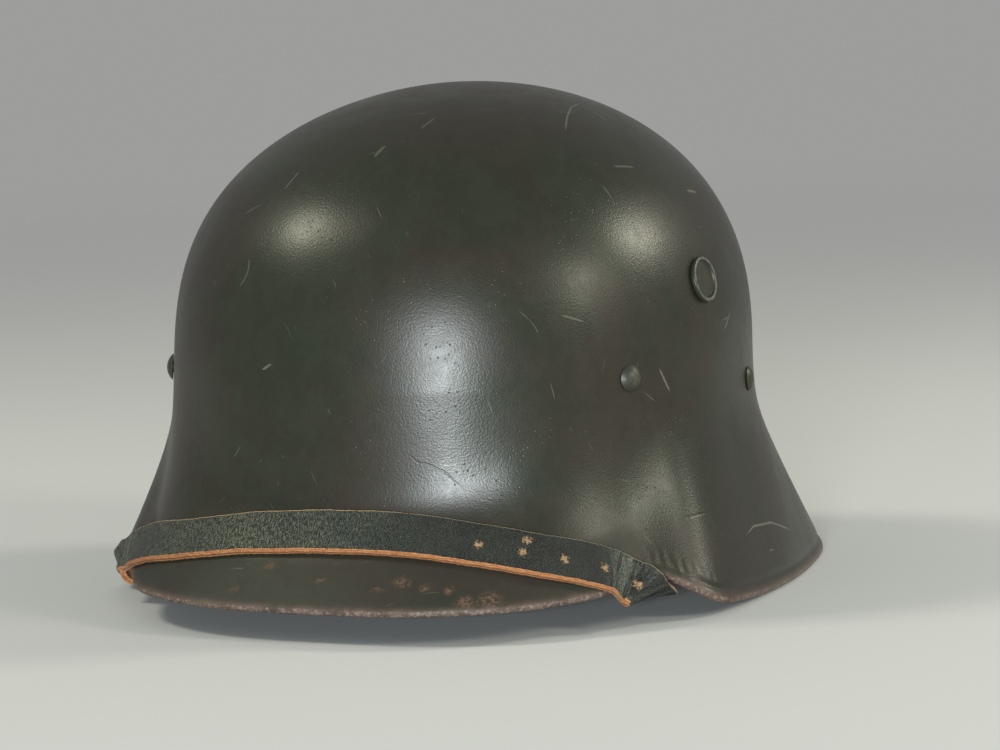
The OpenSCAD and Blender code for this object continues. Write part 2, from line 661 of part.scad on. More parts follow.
// Bracket: a plate under the side rivet, rolled into the barrel the bail swings in
module bail_bracket() placed(pull_x, pull_y, side_n, rivet_at) difference() {
    union() {
        translate([0, 0, -bracket_depth - bracket_t]) linear_extrude(bracket_t) {
            circle(r = bracket_w / 2);
            translate([0, -bracket_w / 2]) square([bracket_l, bracket_w]);
        }
        translate([bracket_l, 0, -hinge_depth]) axle(barrel_r, barrel_l);
    }
    cylinder(r = side_shank_r + rivet_play, h = 2 * sheet_cut, center = true);
    translate([bracket_l, 0, -hinge_depth]) axle(bail_r + pin_play, barrel_l + 2 * past);
}
module bail_bracket_left() color([0.52, 0.52, 0.5]) bail_bracket();
module bail_bracket_right() color([0.52, 0.52, 0.5]) mirror([1, 0, 0]) bail_bracket();

// A closed rectangle of wire with rounded corners, its near bar along Y through the origin
module wire_loop(r, w, l, bend) {
    half = w / 2 + r;
    for (x = [0, l]) translate([x, 0, 0]) axle(r, 2 * (half - bend));
    for (side = [-1, 1]) translate([bend, side * half, 0]) rotate([0, 90, 0])
        cylinder(r = r, h = l - 2 * bend);
    for (q = [0 : 3]) translate([q == 0 || q == 3 ? l - bend : bend, (q < 2 ? 1 : -1) * (half - bend), 0])
        rotate([0, 0, 90 * q]) rotate_extrude(angle = 90) translate([bend, 0]) circle(r = r);
}

// Axes of the strap at the bail's far bar: X along the strap to the front, Z towards the head
strap_x = pull_x * cos(bail_lean) - side_n * sin(bail_lean);
strap_y = -pull_y;
strap_zz = cross(strap_x, strap_y);
bar_at = hinge_at + strap_x * bail_l;
// Radius at the middle of the wire in the bail's corners
bail_bend = 2.5;
module bail() placed(strap_x, strap_y, strap_zz, hinge_at) wire_loop(bail_r, bail_w, bail_l, bail_bend);
module bail_left() color([0.55, 0.55, 0.53]) bail();
module bail_right() color([0.55, 0.55, 0.53]) mirror([1, 0, 0]) bail();
module at_bar() placed(strap_x, strap_y, strap_zz, bar_at) children();
function from_bar(x, z) = bar_at + strap_x * x + strap_zz * z;

// A strip of leather folded round two bars: half of its middle line, drawn from the left bar to the right
fold_play = 0.35;
ply_gap = 0.15;
ply = strap_t / 2 + ply_gap;
near_r = bail_r + loop_play + strap_t / 2;
heel_r = buckle_r + fold_play + strap_t / 2;
fold_steps = 6;
// Where the fold leaves its round at the bail and at the buckle, in degrees from the strap's run
fold_leave = 65;
heel_leave = 115;
// The two points by which the plies come together past the bail: [along, height]
fold_neck = [4, mix(ply, near_r, 0.32)];
fold_flat = [7.5, ply];
// The same before the buckle's bar
heel_flat = [short_strap_l - 6.5, ply];
heel_neck = [short_strap_l - 3.6, mix(ply, heel_r, 0.3)];
heel_at = [short_strap_l, 0];
function round_bar(r, from, to, steps) = [for (i = [0 : steps]) let (q = mix(from, to, i / steps))
    r * [cos(q), sin(q)]];
function below(p) = [p[0], -p[1]];
short_upper = concat(round_bar(near_r, 180, fold_leave, fold_steps),
    [fold_neck, fold_flat, heel_flat, heel_neck],
    [for (p = round_bar(heel_r, heel_leave, 0, fold_steps)) heel_at + p]);
short_line = concat(short_upper, [for (i = [len(short_upper) - 2 : -1 : 1]) below(short_upper[i])]);
function ring_offset(line, d) = [for (i = [0 : len(line) - 1]) let (n = len(line))
    line[i] + left_of(line[(i + n - 1) % n], line[(i + 1) % n]) * d];
slot_w = 4.2;
// How far the prong's slot reaches back past the buckle's bar
slot_back = 3.4;
stud_x = 11;
tail_stud_x = 14;
stud_shank_r = 1.5;
stud_head_r = 3.2;
stud_head_t = 1;
stud_play = 0.1;
module stud_hole(x) translate([x, 0, 0])
    cylinder(r = stud_shank_r + stud_play, h = fold_cut, center = true);
module buckle_strap() color([0.13, 0.13, 0.1]) at_bar() difference() {
    rotate([90, 0, 0]) linear_extrude(strap_w, center = true) difference() {
        polygon(ring_offset(short_line, strap_t / 2));
        polygon(ring_offset(short_line, -strap_t / 2));
    }
    translate([short_strap_l - slot_back, -slot_w / 2, -fold_cut / 2]) cube([fold_cut, slot_w, fold_cut]);
    stud_hole(stud_x);
}
module stud(x) at_bar() translate([x, 0, 0]) {
    reach = ply + strap_t / 2 + close_seat;
    cylinder(r = stud_shank_r, h = 2 * (reach + close_seat), center = true);
    for (low = [-reach - stud_head_t, reach]) post(stud_head_r, low, low + stud_head_t);
}
module buckle_strap_stud() color([0.5, 0.48, 0.4]) stud(stud_x);
module strap_stud() color([0.5, 0.48, 0.4]) mirror([1, 0, 0]) stud(tail_stud_x);

// Buckle: a wire frame on the short strap's far fold, tilted up, with a roller and a prong
buckle_w = strap_w + 3;
buckle_bend = 2.4;
roller_l = buckle_w - 5;
over_heel = heel_r + strap_t + seat;
roller_wall_r = buckle_r + pin_play;
under_roller = roller_r + seat + strap_t / 2;
buckle_tilt = 17;
front_bar = [short_strap_l + buckle_l * cos(buckle_tilt), buckle_l * sin(buckle_tilt)];
module at_heel() at_bar() translate([short_strap_l, 0, 0]) children();
module tilted() at_heel() rotate([0, -buckle_tilt, 0]) children();
module buckle_frame() color([0.55, 0.53, 0.45]) tilted()
    wire_loop(buckle_r, buckle_w, buckle_l, buckle_bend);
module buckle_roller() color([0.6, 0.58, 0.5]) tilted() translate([buckle_l, 0, 0]) difference() {
    axle(roller_r, roller_l);
    axle(roller_wall_r, roller_l + 2 * past);
}
hub_l = 3.2;
hub_r = roller_wall_r + 1;
prong_top = front_bar[1] + roller_r + prong_r + seat;
prong_x = 3.2;
// The stem stands this far ahead of its hole's middle, to clear the hole's rear when it swings up
stem_lead = 0.25;
stem_x = prong_x + stem_lead;
// The prong's middle line from its hub up through the strap's hole, then over the roller
prong_reach = front_bar[0] - short_strap_l;
prong_line = [[0.6, hub_r - 0.5], [1.9, hub_r + 0.4], [stem_x - 0.3, over_heel - 1.4],
    [stem_x, over_heel], [stem_x + 0.5, over_heel + 1.6], [stem_x + 1.8, prong_top - 0.3],
    [stem_x + 3.4, prong_top], [prong_reach, prong_top], [prong_reach + 2.4, prong_top - 0.3]];
module buckle_prong() color([0.6, 0.58, 0.5]) at_heel() difference() {
    union() {
        axle(hub_r, hub_l);
        rotate([90, 0, 0]) linear_extrude(2 * prong_r, center = true) polygon(ribbon(prong_line, 2 * prong_r));
    }
    axle(roller_wall_r, hub_l + 2 * past);
}

// Long strap: stations of middle point, direction along the strap, and outward face
strap_lift = seat + strap_t / 2;
strap_stops = [0, 1, 2, 3, 4, 5, 6, 7];
last_stop = len(strap_stops) - 1;
// At each stop: the share of the turn made, the share of the drop made, and the lean in degrees
strap_turns = [for (f = [0, 0.26, 0.52, 0.745, 0.87, 0.94, 0.98, 1]) f * strap_turn_azimuth];
strap_drops = [0, 0.025, 0.24, 0.52, 0.72, 0.85, 0.94, 1];
strap_leans = [0, 8, 17, 18, 22, 29, 40, 52];
strap_steps = 4;
// Reach over which the wall's tilt is measured
tilt_reach = 4;
function lying(phi, z, lean) = let (
    s = section(phi),
    tilt = atan((wall_r(s, z - tilt_reach) - wall_r(s, z + tilt_reach)) / (2 * tilt_reach)),
    side = strap_w / 2 * sin(lean) / wall_r(s, z) * 180 / PI,
    rise = strap_w / 2 * cos(lean) * cos(tilt),
    upper = skin(phi + side, z + rise),
    lower = skin(phi - side, z - rise),
    w = unit(upper - lower),
    n0 = outward(phi, z),
    n = unit(n0 - w * (n0 * w)),
    mid = (upper + lower) / 2,
    push = max(0, (skin(phi, z) - mid) * n))
    [mid + n * (strap_lift + push), cross(w, n), n];
rim_sag = 1.5;
strap_z_rim = edge_z(section(strap_turn_azimuth)) - rim_sag;
function on_visor(u) = lying(along(strap_stops, strap_turns, u),
    mix(strap_z_front, strap_z_rim, along(strap_stops, strap_drops, u)), along(strap_stops, strap_leans, u));
outer_stops = [for (i = [0 : last_stop * strap_steps]) on_visor(min(last_stop - 0.001, i / strap_steps))];

// Turn under the rim: about an axis along the rim, advancing as the strap crosses it askew
rim_start = outer_stops[last_stop * strap_steps];
turn_r = strap_turn_r + strap_t / 2;
rim_dir = let (
    n = rim_start[2],
    e = edge_point(section(strap_turn_azimuth + 1), 90) - edge_point(section(strap_turn_azimuth - 1), 90))
    unit(e - n * (e * n));
rim_down = cross(rim_dir, rim_start[2]) * (cross(rim_dir, rim_start[2])[2] < 0 ? 1 : -1);
rim_cross = atan2(rim_start[1] * rim_down, rim_start[1] * rim_dir);
turn_all = 175;
turn_steps = 9;
function turned(q) = let (
    n = rim_start[2] * cos(q) + rim_down * sin(q),
    b = rim_down * cos(q) - rim_start[2] * sin(q),
    advance = turn_r * q * PI / 180 / tan(rim_cross))
    [rim_start[0] + (n - rim_start[2]) * turn_r + rim_dir * advance,
        rim_dir * cos(rim_cross) + b * sin(rim_cross), n];
turn_stops = [for (i = [1 : turn_steps]) turned(turn_all * i / turn_steps)];

// Free run inside, from the turn to the bail or the buckle, a curve with a handle at each end
rim_handle = 16;
bar_handle = 26;
run_steps = 9;
function eased(t) = t * t * (3 - 2 * t);
function run_point(p, t) = let (u = 1 - t)
    p[0] * pow(u, 3) + p[1] * 3 * t * pow(u, 2) + p[2] * 3 * t * t * u + p[3] * pow(t, 3);
function run_dir(p, t) = let (u = 1 - t)
    unit((p[1] - p[0]) * pow(u, 2) + (p[2] - p[1]) * 2 * t * u + (p[3] - p[2]) * t * t);
function squared(n, t) = unit(n - t * (n * t));
function free_run(to) = let (
    from = turn_stops[turn_steps - 1],
    p = [from[0], from[0] + from[1] * rim_handle, to + strap_x * bar_handle, to])
    [for (i = [1 : run_steps - 1])
        let (t = i / run_steps, d = run_dir(p, t))
        [run_point(p, t), d, squared(from[2] * (1 - eased(t)) + strap_zz * eased(t), d)]];
function by_bar(line) = [for (i = [0 : len(line) - 1])
    let (a = line[max(0, i - 1)], b = line[min(len(line) - 1, i + 1)], d = unit(b - a))
    [from_bar(line[i][0], line[i][1]), strap_x * d[0] + strap_zz * d[1], strap_x * d[1] - strap_zz * d[0]]];
tail_z = ply + strap_t + ply_gap;
tail_end_x = 15;
// From the strap's free run under the roller, over the buckle's bar, to its end in the keeper
buckle_line = [
    [front_bar[0] + 7, front_bar[1] - under_roller - 0.3],
    [front_bar[0] + 2, front_bar[1] - under_roller],
    [front_bar[0] - 1, front_bar[1] - under_roller + 0.2],
    [short_strap_l + 9, over_heel - 1.9],
    [short_strap_l + 4, over_heel - 0.5],
    [short_strap_l + 1, over_heel],
    [short_strap_l - 2, over_heel],
    [short_strap_l - 5, mix(tail_z, over_heel, 0.4)],
    [short_strap_l - 7.5, tail_z],
    [keeper_x, tail_z],
    [tail_end_x, tail_z]];
// From the other free run round the right bail's bar, to the end under the stud
loop_line = concat([[52, ply], [24, ply], fold_flat, fold_neck],
    round_bar(near_r, fold_leave, 360 - fold_leave, 2 * fold_steps),
    [below(fold_neck), below(fold_flat), [25, -ply]]);
function run_to(line) = let (stops = by_bar(line))
    concat(outer_stops, turn_stops, free_run(stops[0][0]), stops);
function flipped(v) = [-v[0], v[1], v[2]];
long_tail = run_to(loop_line);
strap_run = concat([for (i = [len(long_tail) - 1 : -1 : 1]) let (s = long_tail[i])
    [flipped(s[0]), -flipped(s[1]), flipped(s[2])]], run_to(buckle_line));
function strap_ring(s) = let (w = cross(s[2], s[1]) * strap_w / 2, n = s[2] * strap_t / 2)
    [s[0] - w - n, s[0] + w - n, s[0] + w + n, s[0] - w + n];
module along_stop(s) placed(s[1], cross(s[2], s[1]), s[2], s[0]) children();
// The length run at each stop on the visor
strap_way = [for (i = 0, d = 0; i < len(outer_stops); i = i + 1,
    d = d + (i < len(outer_stops) ? norm(outer_stops[i][0] - outer_stops[i - 1][0]) : 0)) [d, i]];
holes_outside = 5;
// Distance of the outermost hole from the turn under the rim
first_hole = 1;
function hole_stop(k) = outer_stops[round(lookup(
    strap_way[len(strap_way) - 1][0] - first_hole - k * strap_hole_pitch, strap_way))];
module buckle_hole() cylinder(r = strap_hole_r, h = 2 * strap_t, center = true);
module chin_strap() color([0.13, 0.13, 0.1]) difference() {
    swept([for (s = strap_run) strap_ring(s)], false);
    for (k = [0 : holes_outside - 1]) along_stop(hole_stop(k)) buckle_hole();
    for (x = [for (k = [-1 : 1]) short_strap_l + prong_x + k * strap_hole_pitch])
        at_bar() translate([x, 0, lookup(x, buckle_line)]) buckle_hole();
    mirror([1, 0, 0]) at_bar() stud_hole(tail_stud_x);
}

// Keeper: a leather ring round the short strap and the long strap's end
keeper_play = 0.3;
keeper_corner = 0.5;
module rounded(w, h, r) {
    square([w - 2 * r, h], center = true);
    square([w, h - 2 * r], center = true);
    for (x = [-1, 1], y = [-1, 1]) translate([x * (w / 2 - r), y * (h / 2 - r)]) circle(r = r);
}
module strap_keeper() color([0.13, 0.13, 0.1]) at_bar() {
    low = -ply - strap_t / 2 - keeper_play;
    high = tail_z + strap_t / 2 + keeper_play;
    inner_w = strap_w + 2 * keeper_play;
    inner_h = high - low;
    translate([keeper_x, 0, (low + high) / 2]) rotate([90, 0, 90]) linear_extrude(keeper_l) difference() {
        rounded(inner_w + 2 * keeper_t, inner_h + 2 * keeper_t, keeper_t + keeper_corner);
        rounded(inner_w, inner_h, keeper_corner);
    }
}

shell();
vent_bushing_left();
vent_bushing_right();
liner_pins();
liner_pin_washers();
side_rivets();
outer_band();
inner_band();
band_springs();
band_rivets();
felt_strip();
leather_liner();
leather_rivets();
liner_lacing();
bail_bracket_left();
bail_bracket_right();
bail_left();
bail_right();
chin_strap();
strap_stud();
buckle_strap();
buckle_strap_stud();
buckle_frame();
buckle_roller();
buckle_prong();
strap_keeper();
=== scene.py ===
"""Steel civil defense helmet: a worn olive shell, its sprung liner, and a leather chin strap worn over the visor.

Front is -Y, the wearer's left is +X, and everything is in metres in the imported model's frame.
"""
import math
from functools import reduce

import bpy
import numpy as np
from mathutils import Matrix, Vector


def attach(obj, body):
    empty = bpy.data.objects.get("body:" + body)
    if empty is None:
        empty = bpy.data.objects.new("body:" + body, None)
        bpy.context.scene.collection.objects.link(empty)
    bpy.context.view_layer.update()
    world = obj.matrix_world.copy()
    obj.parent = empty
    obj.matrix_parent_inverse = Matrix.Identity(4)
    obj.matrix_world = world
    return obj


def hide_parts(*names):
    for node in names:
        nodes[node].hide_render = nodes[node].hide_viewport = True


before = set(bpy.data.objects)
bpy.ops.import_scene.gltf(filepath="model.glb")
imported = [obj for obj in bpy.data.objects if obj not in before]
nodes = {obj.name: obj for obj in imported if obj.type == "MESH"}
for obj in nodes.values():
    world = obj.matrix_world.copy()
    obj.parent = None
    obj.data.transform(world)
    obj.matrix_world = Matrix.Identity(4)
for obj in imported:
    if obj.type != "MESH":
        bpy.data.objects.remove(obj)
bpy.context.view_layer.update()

# ---------------------------------------------------------------- the pressed form, by the rules of the part's source

HALF_WIDTH = 0.096
HALF_LENGTH = 0.107
SQUARENESS = 2.12
CROWN = 0.172
SPRING = 0.078
RISE_FRONT, RISE_REAR = 2.8, 2.3
REACH_FRONT, REACH_REAR = 1.84, 2.12
LEAN = 0.004
SHEET = 0.0012
BEAD = 0.0015
SEAT = 0.0003
MIDDLE_Y = 0.00721379
SLOPE_AT = (0, 30, 52, 68, 90, 115, 145, 180)
SLOPES = np.tan(np.radians((43, 52, 41, 22.5, 17.5, 19, 30, 31)))
CREASES = np.array((38.5, 32.5, 27, 64, 58, 57.5, 62, 68)) / 1000
SOFT_AT = (0, 25, 50, 75, 180)
SOFTS = np.array((2.7, 6.3, 17, 6.3, 6.3)) / 1000
RIM_AT = (0, 25, 45, 56, 66, 76, 90, 110, 145, 180)
RIMS = np.array((9.3, 9.725, 11, 14.2, 4.6, 2.1, 0.8, 0.2, 0.1, 0)) / 1000


def unit(v):
    """Each vector at length 1."""
    v = np.asarray(v, float)
    return v / np.linalg.norm(v, axis=-1, keepdims=True)


def mix(a, b, t):
    """The value that lies the share t of the way from a to b."""
    return a + (b - a) * t


def hump(x, middle, reach):
    """A smooth hump of height 1 over its middle."""
    return np.exp(-((x - middle) / reach) ** 2)


def follow(at, values, x, level_ends=True):
    """A smooth curve through the values at their stations, read at x."""
    at, values, x = np.asarray(at, float), np.asarray(values, float), np.asarray(x, float)
    tall = (slice(None),) + (None,) * (values.ndim - 1)
    slope = np.zeros_like(values)
    slope[1:-1] = (values[2:] - values[:-2]) / (at[2:] - at[:-2])[tall]
    if not level_ends:
        slope[0] = (values[1] - values[0]) / (at[1] - at[0])
        slope[-1] = (values[-1] - values[-2]) / (at[-1] - at[-2])
    i = np.clip(np.searchsorted(at, x, side="right") - 1, 0, len(at) - 2)
    w = at[i + 1] - at[i]
    t = (x - at[i]) / w
    if values.ndim > 1:
        w, t = w[..., None], t[..., None]
    return (values[i] * (1 + 2 * t) * (1 - t) ** 2 + slope[i] * w * t * (1 - t) ** 2
            + values[i + 1] * t * t * (3 - 2 * t) + slope[i + 1] * w * t * t * (t - 1))


def section(phi):
    """The shell's measures at one azimuth, in degrees from the front towards the wearer's left."""
    phi = np.asarray(phi, float)
    a = np.abs(phi) % 360
    a = np.where(a > 180, 360 - a, a)
    turn = np.radians(phi)
    rear = (1 - np.cos(turn)) / 2
    plan = ((np.abs(np.sin(turn)) / HALF_WIDTH) ** SQUARENESS
            + (np.abs(np.cos(turn)) / HALF_LENGTH) ** SQUARENESS) ** (-1 / SQUARENESS)
    return {"turn": turn, "plan": plan, "slope": follow(SLOPE_AT, SLOPES, a), "crease": follow(SLOPE_AT, CREASES, a),
            "soft": follow(SOFT_AT, SOFTS, a), "rise": mix(RISE_FRONT, RISE_REAR, rear),
            "reach": mix(REACH_FRONT, REACH_REAR, rear), "rim": follow(RIM_AT, RIMS, a)}


def dome_part(z):
    """How far up the dome a height lies, from 0 where it springs to 1 at the crown."""
    return np.clip((z - SPRING) / (CROWN - SPRING), 0, 1)


def flare(s, z):
    """How far the skirt has spread at a height, round a soft crease."""
    return s["slope"] * s["soft"] * np.logaddexp(0, (s["crease"] - z) / s["soft"])


def radius(s, z):
    """The radius of the outer skin at a height."""
    a = np.arccos(dome_part(z) ** (s["rise"] / 2))
    return s["plan"] * np.where(z > SPRING, np.sin(a) ** (2 / s["reach"]), 1) + flare(s, z)


def place(s, r, z):
    """The point at a radius and a height; the dome leans back a little."""
    z = np.asarray(z, float)
    x, y = r * np.sin(s["turn"]), -r * np.cos(s["turn"]) + LEAN * dome_part(z) - MIDDLE_Y
    return np.stack(np.broadcast_arrays(x, y, z), -1)


def skin(phi, z):
    """The point of the outer skin at an azimuth and a height."""
    s = section(phi)
    return place(s, radius(s, z), z)


def outward(phi, z):
    """The direction square to the outer skin."""
    phi, z = np.asarray(phi, float), np.asarray(z, float)
    return unit(np.cross(skin(phi, z - 5e-5) - skin(phi, z + 5e-5), skin(phi + 0.05, z) - skin(phi, z)))


def under_skin(phi, z, depth):
    """The point that lies at a level depth behind the outer skin."""
    n = outward(phi, z)
    n[..., 2] = 0
    return skin(phi, z) - unit(n) * np.asarray(depth)[..., None]


def dome_point(s, t):
    """A point of the dome, from the crown at 0 to where it springs at 1."""
    z = SPRING + (CROWN - SPRING) * np.cos(np.pi / 2 * t) ** (2 / s["rise"])
    return place(s, s["plan"] * np.sin(np.pi / 2 * t) ** (2 / s["reach"]) + flare(s, z), z)


def dome_outward(phi, t):
    """The direction square to the dome."""
    s = section(phi)
    return unit(np.cross(dome_point(s, t + 0.002) - dome_point(s, t - 0.002),
                         dome_point(section(np.asarray(phi) + 0.05), t) - dome_point(s, t)))


def edge_slope(s):
    """The angle at which the skin runs into the rolled edge."""
    return np.arctan((radius(s, s["rim"] + BEAD) - radius(s, s["rim"] + 2 * BEAD)) / BEAD)


def edge_z(s):
    """The height at which the skin runs into the rolled edge."""
    return s["rim"] + BEAD * (1 + np.sin(edge_slope(s)))


def edge_point(s, turn):
    """A point of the rolled edge, turned in degrees from where the skin runs into it."""
    a = np.radians(turn) - edge_slope(s)
    middle = radius(s, edge_z(s)) - BEAD * np.cos(edge_slope(s))
    return place(s, middle + BEAD * np.cos(a), s["rim"] + BEAD - BEAD * np.sin(a))


def on_skin(phi, z):
    """A seat on the skin: Z points outward and X runs down the wall."""
    n = outward(phi, z)
    flat = math.hypot(n[0], n[1])
    x = np.array((n[2] * n[0] / flat, n[2] * n[1] / flat, -flat))
    return seat_from(x, np.cross(n, x), n, skin(phi, z))


def seat_from(x, y, z, at):
    """A seat from its three axes and its place."""
    made = Matrix.Identity(4)
    for i, column in enumerate((x, y, z, at)):
        for j in range(3):
            made[j][i] = float(column[j])
    return made


def mirrored(seat):
    """The same seat on the other side of the head, still right-handed."""
    flip = Matrix.Diagonal((-1, 1, 1, 1))
    return flip @ seat @ Matrix.Diagonal((1, -1, 1, 1))


# ---------------------------------------------------------------- meshes

def grid_quads(rows, cols, close_rows=False, close_cols=False):
    """Quads over points laid out row by row."""
    r = np.arange(rows if close_rows else rows - 1)
    c = np.arange(cols if close_cols else cols - 1)
    r, c = np.meshgrid(r, c, indexing="ij")
    r2, c2 = (r + 1) % rows, (c + 1) % cols
    return np.stack((r * cols + c, r * cols + c2, r2 * cols + c2, r2 * cols + c), -1).reshape(-1, 4)


def faces_out(points, faces):
    """The faces of a closed form, turned to point outwards."""
    volume = 0
    for f in (np.array([f for f in faces if len(f) == n]) for n in (3, 4)):
        for k in range(1, f.shape[1] - 1 if len(f) else 1):
            a, b, c = points[f[:, 0]], points[f[:, k]], points[f[:, k + 1]]
            volume += (a * np.cross(b, c)).sum()
    return [tuple(f[::-1]) for f in faces] if volume < 0 else [tuple(f) for f in faces]


def add_object(name, data):
    """A new object in the scene, from a mesh, a lamp or a camera's lens."""
    made = bpy.data.objects.new(name, data)
    bpy.context.scene.collection.objects.link(made)
    return made


def points_on_rings(rows, sides):
    """Points on rings round Z, one ring for each radius and height."""
    turns = np.arange(sides) * 2 * np.pi / sides
    ring = np.stack((np.cos(turns), np.sin(turns)), -1)
    return np.vstack([np.column_stack((ring * r, np.full(sides, z))) for r, z in rows])


def solid(name, points, faces):
    """A mesh object whose faces point outwards, shaded smooth up to a 35 degree edge."""
    points = np.asarray(points, float).reshape(-1, 3)
    mesh = bpy.data.meshes.new(name)
    mesh.from_pydata(points.tolist(), [], faces_out(points, [tuple(int(i) for i in f) for f in faces]))
    mesh.validate()
    made = add_object(name, mesh)
    shade(made)
    return made


def shade(made, sharp=35):
    """Shades smooth, up to edges of that angle."""
    made.data.shade_smooth()
    made.data.set_sharp_from_angle(angle=math.radians(sharp))


def baked(made):
    """Replaces the object's mesh by what its modifiers make of it."""
    bpy.context.view_layer.update()
    mesh = bpy.data.meshes.new_from_object(made.evaluated_get(bpy.context.evaluated_depsgraph_get()))
    made.modifiers.clear()
    made.data = mesh
    return made


def take_away(made, cutter):
    """Cuts the cutter's form out of the object, and removes the cutter."""
    hole = made.modifiers.new("hole", "BOOLEAN")
    hole.operation, hole.solver, hole.object = "DIFFERENCE", "MANIFOLD", cutter
    baked(made)
    bpy.data.objects.remove(cutter)


def cut(made, seats, r, low, high, sides=24):
    """Drills a round hole of that radius through the object at each seat."""
    points = points_on_rings(((r, low), (r, high)), sides)
    faces = grid_quads(2, sides, close_cols=True).tolist()
    faces += [range(sides)[::-1], range(sides, 2 * sides)]
    for seat in seats:
        take_away(made, solid("drill", np.array([seat @ Vector(p) for p in points]), faces))


def note(made, name, values):
    """Keeps one number for each point of the mesh, for its material to read."""
    layer = made.data.attributes.new(name, "FLOAT", "POINT")
    layer.data.foreach_set("value", np.asarray(values, np.float32))


def points_of(made):
    """The places of the mesh's points."""
    co = np.empty(len(made.data.vertices) * 3, np.float32)
    made.data.vertices.foreach_get("co", co)
    return co.reshape(-1, 3).astype(float)


def soften(made, width, segments=2, angle=40):
    """Rounds the edges that are sharper than that angle."""
    bevel = made.modifiers.new("soft edge", "BEVEL")
    bevel.width, bevel.segments, bevel.limit_method = width, segments, "ANGLE"
    bevel.angle_limit = math.radians(angle)
    return baked(made)


def finish_piece(made, body, material, slot, *stands_for):
    """Gives a finished piece its material, its body and the CAD nodes that it stands for."""
    if material is not None:
        made.data.materials.clear()
        made.data.materials.append(material)
    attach(made, body)
    if stands_for:
        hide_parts(*stands_for)
    return made


# ---------------------------------------------------------------- node trees

def feed(tree, made, inputs):
    """Feeds a node's inputs, each from a value or from another node's socket."""
    for key, value in inputs.items():
        if isinstance(value, bpy.types.NodeSocket):
            tree.links.new(value, made.inputs[key])
        else:
            made.inputs[key].default_value = value


def node(tree, kind, inputs=None, **settings):
    """Adds a node with those inputs and settings."""
    made = tree.nodes.new(kind)
    for key, value in settings.items():
        setattr(made, key, value)
    feed(tree, made, inputs or {})
    return made


def calc(tree, operation, *values):
    """The result of one calculation on numbers or sockets."""
    return node(tree, "ShaderNodeMath", dict(enumerate(values)), operation=operation).outputs[0]


def add(tree, *values):
    """The sum of all the values."""
    return reduce(lambda total, value: calc(tree, "ADD", total, value), values)


def times(tree, *values):
    """The product of all the values."""
    return reduce(lambda total, value: calc(tree, "MULTIPLY", total, value), values)


def minus(tree, value, other):
    """The value less the other."""
    return calc(tree, "SUBTRACT", value, other)


def vector_calc(tree, operation, *values, out=0):
    """The result of one calculation on vectors."""
    return node(tree, "ShaderNodeVectorMath", dict(enumerate(values)), operation=operation).outputs[out]


def span(tree, value, low, high, to_low=0.0, to_high=1.0):
    """Maps low..high smoothly to to_low..to_high, and holds both ends."""
    return node(tree, "ShaderNodeMapRange", {"Value": value, "From Min": low, "From Max": high, "To Min": to_low,
                                             "To Max": to_high}, interpolation_type="SMOOTHSTEP").outputs[0]


def blend(tree, factor, a, b, mode="MIX"):
    """Two colours mixed, or b laid over a in another mode."""
    return node(tree, "ShaderNodeMix", {0: factor, 6: a, 7: b}, data_type="RGBA", blend_type=mode).outputs[2]


def noise(tree, vector, scale, detail=2.0, rough=0.5, warp=0.0):
    """An uneven value from 0 to 1, without direction."""
    return node(tree, "ShaderNodeTexNoise", {"Vector": vector, "Scale": scale, "Detail": detail, "Roughness": rough,
                                             "Distortion": warp}).outputs[0]


def stretched(tree, vector, x, y, z):
    """Coordinates drawn together along each axis by that factor."""
    return vector_calc(tree, "MULTIPLY", vector, (x, y, z))


def attribute(tree, name):
    """A number that the mesh keeps for each of its points."""
    return node(tree, "ShaderNodeAttribute", attribute_name=name).outputs["Fac"]


def colour(code):
    """A linear colour from its six screen digits."""
    parts = [int(code[i:i + 2], 16) / 255 for i in (0, 2, 4)]
    return tuple(c / 12.92 if c <= 0.04045 else ((c + 0.055) / 1.055) ** 2.4 for c in parts) + (1.0,)


def new_group(name, kind, inputs, outputs):
    """An empty group with named sockets, and its input and output nodes."""
    tree = bpy.data.node_groups.new(name, kind)
    for label, socket, value in inputs:
        made = tree.interface.new_socket(label, in_out="INPUT", socket_type="NodeSocket" + socket)
        if value is not None:
            made.default_value = value
    for label, socket in outputs:
        tree.interface.new_socket(label, in_out="OUTPUT", socket_type="NodeSocket" + socket)
    return tree, tree.nodes.new("NodeGroupInput").outputs, tree.nodes.new("NodeGroupOutput").inputs


def place_group(tree, group, inputs):
    """Uses one of the groups below, and returns its outputs."""
    return node(tree, "ShaderNodeGroup", inputs, node_tree=group).outputs


def make_cloudy_tone():
    """Two tones that run into each other in clouds, with a fine speckle over both."""
    tree, given, out = new_group("cloudy_tone", "ShaderNodeTree", [
        ("Vector", "Vector", None), ("Cloud Scale", "Float", 20.0), ("Speckle Scale", "Float", 900.0),
        ("Speckle", "Float", 0.1), ("Tone", "Color", None), ("Other Tone", "Color", None)],
        [("Colour", "Color"), ("Cloud", "Float")])
    clouds = noise(tree, given["Vector"], given["Cloud Scale"], 5.0, 0.62, 0.6)
    cloud = span(tree, clouds, 0.38, 0.64)
    specks = noise(tree, given["Vector"], given["Speckle Scale"], 3.0, 0.7)
    lightness = add(tree, 1.0, times(tree, minus(tree, specks, 0.5), given["Speckle"]))
    tone = blend(tree, cloud, given["Tone"], given["Other Tone"])
    grey = node(tree, "ShaderNodeCombineColor", {"Red": lightness, "Green": lightness, "Blue": lightness}).outputs[0]
    tree.links.new(blend(tree, 1.0, tone, grey, "MULTIPLY"), out["Colour"])
    tree.links.new(cloud, out["Cloud"])
    return tree


